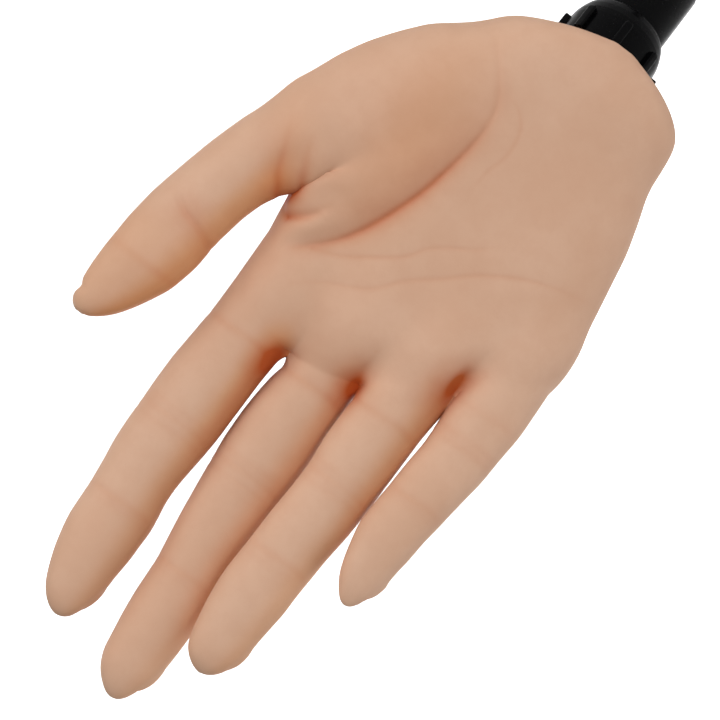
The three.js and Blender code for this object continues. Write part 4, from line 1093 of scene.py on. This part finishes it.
def prism(outline, z0, z1, frame4, ends=()):
    """Outline extruded along local z; ends are (z, inset) steps that shape the lower end"""
    o = np.array(outline, float)
    c = o.mean(0)
    levels = [(z, i) for z, i in ends] + [(z0, 0.0)] * (not ends) + [(z1, 0.0)]
    verts, faces, n = [], [], len(o)
    for z, inset in levels:
        d = o - c
        s = np.maximum(1 - inset / np.maximum(np.abs(d).max(0), 1e-6), 0.05)
        verts += [(c[0] + p[0] * s[0], c[1] + p[1] * s[1], z) for p in d]
    for i in range(len(levels) - 1):
        for k in range(n):
            k2 = (k + 1) % n
            faces.append((i * n + k, i * n + k2, (i + 1) * n + k2, (i + 1) * n + k))
    faces.append(tuple(range(n))[::-1])
    faces.append(tuple(range((len(levels) - 1) * n, len(levels) * n)))
    v = np.array(verts) @ frame4[:3, :3].T + frame4[:3, 3]
    return v, faces


def join(*solids):
    vs, fs, k = [], [], 0
    for v, f in solids:
        vs.append(v)
        fs += [tuple(i + k for i in face) for face in f]
        k += len(v)
    return np.concatenate(vs), fs


def block(x0, x1, y0, y1, z0, z1, frame4, r=0.0):
    o = fillet([(x0, y0, r), (x1, y0, r), (x1, y1, r), (x0, y1, r)], True)
    return prism(o, z0, z1, frame4)


def make(name, solid):
    v, f = solid
    me = bpy.data.meshes.new(name)
    me.from_pydata([tuple(p / 1000) for p in v], [], f)
    bm = bmesh.new()
    bm.from_mesh(me)
    bmesh.ops.recalc_face_normals(bm, faces=bm.faces)
    bm.to_mesh(me)
    bm.free()
    ob = bpy.data.objects.new(name, me)
    bpy.context.scene.collection.objects.link(ob)
    return ob


def boolean(ob, solid, how):
    tool = make("tool", solid)
    m = ob.modifiers.new("b", "BOOLEAN")
    m.operation, m.solver, m.object = how, "EXACT", tool
    dg = bpy.context.evaluated_depsgraph_get()
    me = bpy.data.meshes.new_from_object(ob.evaluated_get(dg))
    ob.modifiers.clear()
    old = ob.data
    ob.data = me
    bpy.data.meshes.remove(old)
    t = tool.data
    bpy.data.objects.remove(tool)
    bpy.data.meshes.remove(t)
    return ob


def soften(ob, width, angle=28, steps=2):
    """Small round on every sharp edge"""
    bm = bmesh.new()
    bm.from_mesh(ob.data)
    bmesh.ops.remove_doubles(bm, verts=bm.verts, dist=2e-6)
    bmesh.ops.dissolve_limit(bm, angle_limit=math.radians(0.6), verts=bm.verts, edges=bm.edges)
    edges = [e for e in bm.edges if len(e.link_faces) == 2 and e.calc_face_angle(0) > math.radians(angle)]
    bmesh.ops.bevel(bm, geom=edges, offset=width / 1000, offset_type="OFFSET", segments=steps, profile=0.55, affect="EDGES", clamp_overlap=True)
    bmesh.ops.triangulate(bm, faces=[f for f in bm.faces if len(f.verts) > 4])
    bm.to_mesh(ob.data)
    bm.free()


def finish_piece(ob, node, body, material, angle=30):
    me = ob.data
    me.polygons.foreach_set("use_smooth", [True] * len(me.polygons))
    me.set_sharp_from_angle(angle=math.radians(angle))
    me.materials.clear()
    me.materials.append(MATERIALS[material])
    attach(ob, body)
    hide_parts(node)
    return ob


def knob_radius(r, count, top):
    """Scallops round a hand knob"""
    d, rho = r + 1.1, 2.6

    def f(q, z, th):
        a = (th + math.pi / count) % (2 * math.pi / count) - math.pi / count
        s = d * np.sin(a)
        edge = np.where(np.abs(s) < rho, d * np.cos(a) - np.sqrt(np.maximum(rho * rho - s * s, 0)), 99.0)
        lim = r - 0.6
        k = 0.9
        m = np.full_like(th, q)
        h = np.maximum(k - np.abs(m - (edge - (lim - q) * 0.35)), 0) / k
        if q < lim - 3.4 or q < 3:
            return m
        return np.minimum(m, edge - (lim - q) * 0.35) - h * h * k * 0.25
    return f


def knob(frame4, r, z0, z1, count, hole, depth):
    prof = [(0, z0), (r * 0.55, z0, 0.4), (r * 0.62, z0 + 1.6, 0.6), (r - 1.6, z0 + 2, 0.5), (r - 0.6, z0 + 3.2, 0.8), (r - 0.6, z1 - 1.4, 1.0),
            (r - 2.2, z1 - 0.15, 0.8), (r * 0.55, z1, 0.4), (r * 0.5, z1 - 0.7, 0.3), (0, z1 - 0.9)]
    if hole:
        prof = [(0, z0 + depth), (hole, z0 + depth), (hole, z0, 0.3)] + prof[1:]
    # turned with 168 segments round so that the scallops keep their shape
    return lathe(prof, frame4, 168, knob_radius(r, count, z1), closed=False)


# locking nut: turned body with eight ribs
ribs = []
for i in range(8):
    a = i * math.pi / 4
    f = ARM4.copy()
    rot = np.array([[math.cos(a), -math.sin(a), 0], [math.sin(a), math.cos(a), 0], [0, 0, 1]])
    f[:3, :3] = ARM4[:3, :3] @ rot
    o = fillet([(10.9, -1.1, 0), (13.55, -1.1, 0.5), (13.55, 1.1, 0.5), (10.9, 1.1, 0)], True, 5)
    ribs.append(prism(o, 0, 7.15, f, ends=((-0.05, 0.62), (0.1, 0.36), (0.4, 0.14), (0.8, 0.03), (1.1, 0.0))))
nut = make("lock_nut_body", lathe([(6.25, 7.95, 0.2), (11.4, 7.95, 0.5), (12.15, 7.1, 0.5), (12.15, 0.2, 0.8), (12.0, -1.5, 2), (11.5, -3.4, 2), (10.95, -4.8, 0.8),
                                   (10.45, -5.65, 0.35), (9.45, -5.65, 0.2), (9.45, 6.4), (6.25, 6.4, 0.2)], ARM4, 120))
boolean(nut, join(*ribs), "UNION")
soften(nut, 0.12, 50, 1)
finish_piece(nut, "lock_nut", "nut", "black_plastic", 34)

neck = make("neck_sleeve", lathe([(5.36, 3.45, 0.2), (8.95, 3.45, 0.4), (8.95, -6.15), (9.55, -6.15, 0.25), (9.6, -8.0), (9.6, -24.3, 0.6), (8.75, -25.95, 0.5), (7.36, -25.95, 0.2),
                                  (7.36, -7.35), (5.36, -7.35)], ARM4, 128))
finish_piece(neck, "neck_socket", "arm", "black_plastic", 34)
tube = make("arm_tube_round", lathe([(5.6, -7.75, 0.2), (6.98, -7.75, 0.2), (6.98, -85.95, 0.2), (5.6, -85.95, 0.2)], ARM4, 112))
finish_piece(tube, "arm_tube", "arm", "black_tube", 34)
foot = make("arm_foot_cast", lathe([(0, -93.4), (7.8, -93.4, 0.5), (8.6, -92.5, 0.6), (8.6, -74.6, 0.9), (7.9, -73.85, 0.4), (7.34, -73.85, 0.15), (7.34, -86.35), (0, -86.35)], ARM4, 96))
PIV = moved(ARM4, 0, 0, -104)
rodx = PIV.copy()
rodx[:3, 0], rodx[:3, 1], rodx[:3, 2] = PIV[:3, 1], PIV[:3, 2], PIV[:3, 0]
boolean(foot, block(-4.05, 4.05, -8, 8, -104, -92.8, ARM4), "UNION")
boolean(foot, lathe([(0, -4.05), (8, -4.05), (8, 4.05), (0, 4.05)], rodx, 96), "UNION")
boolean(foot, lathe([(0, -6), (3.34, -6), (3.34, 6), (0, 6)], rodx, 48), "DIFFERENCE")
soften(foot, 0.35, 40)
finish_piece(foot, "arm_foot", "arm", "black_enamel")

post = make("swivel_post_cast", lathe([(0, 6.8), (6.2, 6.8, 0.3), (6.98, 7.6, 0.3), (6.98, 18.4), (5.6, 18.4, 0.3), (5.6, 23.6, 0.3), (6.98, 23.6), (6.98, 30.6, 0.3), (12.4, 30.6, 0.3),
                                       (12.8, 31, 0.3), (12.8, 34, 0.5), (12.2, 34.6, 0.5), (0, 34.6)], ORIGIN4, 96))
for a, b in ((-9.4, -4.5), (4.5, 9.4)):
    ear = make("ear", block(a, b, -8.6, 8.6, 33.6, PIVOT_Z, ORIGIN4))
    boolean(ear, lathe([(0, a), (8.6, a), (8.6, b), (0, b)], along_x(0, 0, PIVOT_Z), 96), "UNION")
    v = np.array([p.co for p in ear.data.vertices]) * 1000
    fs = [tuple(p.vertices) for p in ear.data.polygons]
    bpy.data.objects.remove(ear)
    boolean(post, (v, fs), "UNION")
boolean(post, lathe([(0, -14), (3.34, -14), (3.34, 14), (0, 14)], along_x(0, 0, PIVOT_Z), 48), "DIFFERENCE")
soften(post, 0.35, 40)
finish_piece(post, "swivel_post", "post", "black_enamel")

hexo = [(5.55 * math.cos(k * math.pi / 3), 5.55 * math.sin(k * math.pi / 3)) for k in range(6)]
bolt = make("tilt_bolt_turned", lathe([(0, -9.9), (3, -9.9), (3, 16.2, 0.0), (2.4, 16.95), (0, 16.95)], along_x(0, 0, PIVOT_Z), 48))
boolean(bolt, prism(hexo, -13.55, -9.75, along_x(0, 0, PIVOT_Z)), "UNION")
soften(bolt, 0.3, 40)
finish_piece(bolt, "tilt_bolt", "post", "steel")
kn = make("tilt_knob_moulded", knob(along_x(0, 0, PIVOT_Z), 11, 9.78, 22.5, 7, 3.34, 8))
finish_piece(kn, "tilt_knob", "tilt_knob", "black_plastic", 40)

# clamp casting: bowed side profile, boss for the post, boss for the screw
side = [(-30, 2.6, 0.8), (13.6, 2.6, 4.6), (13.6, -61.6, 4.6), (-24, -61.6, 0.8), (-24, -71, 1.6), (12, -72.5, 6), (22.6, -72.5, 10), (22.6, 12, 10), (-30, 12, 3)]
sx = np.eye(4)
sx[:3, 0], sx[:3, 1], sx[:3, 2], sx[:3, 3] = (0, 1, 0), (0, 0, 1), (1, 0, 0), (-14, 0, 0)
clamp = make("clamp_casting", prism(fillet(side, True, 8), 0, 28, sx))
soften(clamp, 1.3, 40, 3)
boolean(clamp, lathe([(0, 9), (13.6, 9), (13.6, 12.6), (13, 13.4, 0.6), (12.95, 29.1, 0.7), (12, 30.15, 0.4), (0, 30.15)], ORIGIN4, 96), "UNION")
boolean(clamp, lathe([(0, 6.4), (7.34, 6.4), (7.34, 29.7), (7.8, 31), (0, 31)], ORIGIN4, 80), "DIFFERENCE")
boolean(clamp, lathe([(0, 5), (2.6, 5), (2.6, 16), (0, 16)], along_x(0, 0, 21), 40), "DIFFERENCE")
SCREW4 = moved(ORIGIN4, 0, SCREW_Y, 0)
boolean(clamp, lathe([(0, -79.95), (9.4, -79.95, 0.5), (10, -79.2, 0.5), (10, -62), (0, -62)], SCREW4, 80), "UNION")
boolean(clamp, lathe([(0, -90), (4.34, -90), (4.34, -55), (0, -55)], SCREW4, 64), "DIFFERENCE")
soften(clamp, 0.25, 50)
finish_piece(clamp, "clamp_bracket", "clamp", "black_enamel")
po = fillet([(-13, -29, 2), (13, -29, 2), (13, 9, 2), (-13, 9, 2)], True, 6)
pad = make("jaw_pad_rubber", prism(po, 0, 2.25, ORIGIN4))
soften(pad, 0.2, 40)
finish_piece(pad, "jaw_pad", "clamp", "rubber_pad")


def thread(q, z, th):
    """Trapezoidal thread of 4 mm pitch"""
    if q < 3.9 or not (-102.0 < z < -34.0):
        return np.full_like(th, q)
    t = (z / 4.0 - th / (2 * math.pi)) % 1.0
    ridge = np.clip((0.36 - np.abs(t - 0.5)) / 0.12, 0, 1)
    run = min(1.0, (z + 102.0) / 2.0, (-34.0 - z) / 2.0)
    return q - 0.75 * (1 - ridge) * run


rows = [(3.97, z) for z in np.arange(-102.4, -33.4, 0.4)]
screw = make("clamp_screw_threaded", lathe([(0, -106.4), (6.2, -106.4), (6.2, -103.6), (3.97, -103.6)] + rows + [(3.97, -33.2), (3.4, -32.6), (0, -32.6)], SCREW4, 60, thread, closed=False))
finish_piece(screw, "clamp_screw", "screw", "steel", 50)
down = np.eye(4)
down[:3, 0], down[:3, 1], down[:3, 2], down[:3, 3] = (1, 0, 0), (0, -1, 0), (0, 0, -1), (0, SCREW_Y, -106.7)
kn = make("screw_knob_moulded", knob(down, 15, 0, 15, 8, 0, 0))
finish_piece(kn, "screw_knob", "screw", "black_plastic", 40)
press = make("pressure_disc", lathe([(4.34, -38, 0.3), (7, -38, 0.8), (7.6, -33, 1.5), (11.9, -31.4, 0.5), (12, -28.6), (11.4, -28.0), (0, -28.0), (0, -32.2), (4.34, -32.2)], SCREW4, 96))
finish_piece(press, "pressure_pad", "pad", "black_plastic")
pscr = make("post_screw_moulded", knob(along_x(0, 0, 21), 8, 13.6, 22, 6, 0, 0))
boolean(pscr, lathe([(0, 6.0), (1.7, 6.0), (2.2, 6.6), (2.2, 15), (0, 15)], along_x(0, 0, 21), 40), "UNION")
finish_piece(pscr, "post_screw", "post_screw", "black_plastic", 40)

# ------------------------------------------------------------------ silicone hand
H = 0.95
P, Q, N, OWN, FREE, PAINTED_SHADE_MASK, SIDE_SHADE_MASK = make_hand(H)
EDGES = edges_of(Q)
FINE = relative_height(P, N, EDGES, 3)
BROAD = relative_height(P, N, EDGES, 40)
PIECE, NAMES = faces_of(P, Q, OWN)
print("skin", len(P), "points", len(Q), "faces")
SKIN = skin_material()
JOINTS = {j["name"]: j for j in frame["joints"]}


def zone(n, k):
    """Start and end of the bend at joint k of a finger, metres"""
    name = f"{n}_{('base', 'middle', 'end')[k]}_bend"
    j = JOINTS[name]
    z = np.array(j["pos_m"])[2] * 1000 - OFFSET[2] * 1000
    lo = max(z - 5.2, CUTS[n][0] + 0.3) if k == 0 else z - (4.6 if n == "little" else 5.2)
    hi = z + (4.2 if n == "little" else 5.2)
    c = np.array(j["pos_m"]) * 1000 - OFFSET * 1000
    a, b = c.copy(), c.copy()
    a[2], b[2] = lo, hi
    return a / 1000 + OFFSET, b / 1000 + OFFSET


for i, name in enumerate(NAMES):
    m = PIECE == i
    if not m.any():
        print("EMPTY", name)
        continue
    ob, nl = skin_piece(name, P, Q[m], N, {"free": FREE, "fine": FINE, "broad": BROAD, "shade_mask": PAINTED_SHADE_MASK, "side_shade": SIDE_SHADE_MASK}, 1.2)
    print(name, m.sum(), "loops", nl)
    ob.data.materials.append(SKIN)
    if name == "palm":
        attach(ob, "hand")
        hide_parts("palm_skin")
        continue
    n, seg = name.rsplit("_", 1)
    if n == "thumb":
        k = 0 if seg == "proximal" else 1
        if k == 0:
            a = THUMB_0 + THUMB_N * 0.5
            b = THUMB_0 + THUMB_N * 19.0
            off = np.array([0, -6.5, 0])
            a, b = (a + off) / 1000 + OFFSET, (b + off) / 1000 + OFFSET
        else:
            c = np.array(JOINTS["thumb_end_bend"]["pos_m"])
            t = np.array([0.12, -0.1, 1.0])
            t /= np.linalg.norm(t)
            a, b = c - t * 0.0062, c + t * 0.0062
    else:
        k = SEGMENTS.index(seg)
        a, b = zone(n, k)
    tuple(a)
    tuple(b)
    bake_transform(ob)
    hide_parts(name + "_skin")

# ----------------------------------------------------------------------- stage
def backdrop():
    """Pale floor that curves up into a wall; the wall is lit from within so that it reads as white"""
    prof = [(-2.0, -0.14), (1.2, -0.14)]
    for k in range(1, 17):
        t = k / 16 * math.pi / 2
        prof.append((1.2 + 0.8 * math.sin(t), -0.14 + 0.8 * (1 - math.cos(t))))
    prof.append((2.0, 1.9))
    me = bpy.data.meshes.new("backdrop")
    vs = []
    for x in (-1.7, 1.7):
        vs += [(x, y, z) for y, z in prof]
    k = len(prof)
    fs = [(i, k + i, k + i + 1, i + 1) for i in range(k - 1)]
    me.from_pydata(vs, [], fs)
    me.polygons.foreach_set("use_smooth", [True] * len(fs))
    ob = bpy.data.objects.new("backdrop", me)
    bpy.context.scene.collection.objects.link(ob)
    s = Nodes("White paper")
    co = s.new("ShaderNodeTexCoord").outputs["Object"]
    n = s.noise(co, 60, 2)
    s.link(s.mix(n, srgb(248, 248, 248), srgb(252, 252, 252)), s.b.inputs["Base Color"])
    s.set(Roughness=0.9)
    s.b.inputs["Emission Color"].default_value = (1, 1, 1, 1)
    sep = s.new("ShaderNodeSeparateXYZ")
    s.link(co, sep.inputs[0])
    s.link(s.ramp(sep.outputs[1], 0.5, 1.3, 0.0, 0.95), s.b.inputs["Emission Strength"])
    me.materials.append(s.m)
    return ob


def area(name, loc, target, size, power, colour=(1, 1, 1)):
    d = bpy.data.lights.new(name, "AREA")
    d.shape = "RECTANGLE"
    d.size, d.size_y = size
    d.energy = power
    d.color = colour
    o = bpy.data.objects.new(name, d)
    o.location = loc
    o.rotation_euler = (Vector(target) - Vector(loc)).to_track_quat("-Z", "Y").to_euler()
    bpy.context.scene.collection.objects.link(o)
    return o


backdrop()
CENTRE = (0.0, -0.03, 0.24)
area("key", (0.92, -0.85, 0.36), CENTRE, (0.7, 0.7), 3.3)
area("key wide", (0.92, -0.85, 0.36), CENTRE, (1.5, 1.5), 6.7)
area("front", (0.0, -1.3, 0.3), CENTRE, (1.2, 1.2), 4.9)
area("side", (-1.25, -0.1, 0.3), CENTRE, (0.8, 0.8), 4.6)
area("back left", (-0.6, 1.0, 0.9), CENTRE, (0.8, 0.8), 2.7)
area("back right", (0.9, 0.9, 0.7), CENTRE, (0.8, 0.8), 1.6)
world = bpy.data.worlds.new("white")
world.use_nodes = True
world.node_tree.nodes["Background"].inputs[0].default_value = (1, 1, 1, 1)
world.node_tree.nodes["Background"].inputs[1].default_value = 0.13
scene = bpy.context.scene
scene.world = world
scene.view_settings.view_transform = "Standard"
scene.view_settings.look = "None"

# ---------------------------------------------------------------------- camera
cam = bpy.data.cameras.new("camera")
cam.sensor_width = 36
cam.lens = 127.1
cam.clip_start, cam.clip_end = 0.05, 20
co = bpy.data.objects.new("camera", cam)
R, U, B = Vector((-0.7915, 0, -0.6112)), Vector((0.6112, 0, -0.7915)), Vector((0, -1, 0))
m = Matrix.Identity(4)
for k, v in enumerate((R.normalized(), U.normalized(), B)):
    for r in range(3):
        m[r][k] = v[r]
m.translation = Vector((0.00185, -0.6485906, 0.2353746))
co.matrix_world = m
scene.collection.objects.link(co)
scene.camera = co
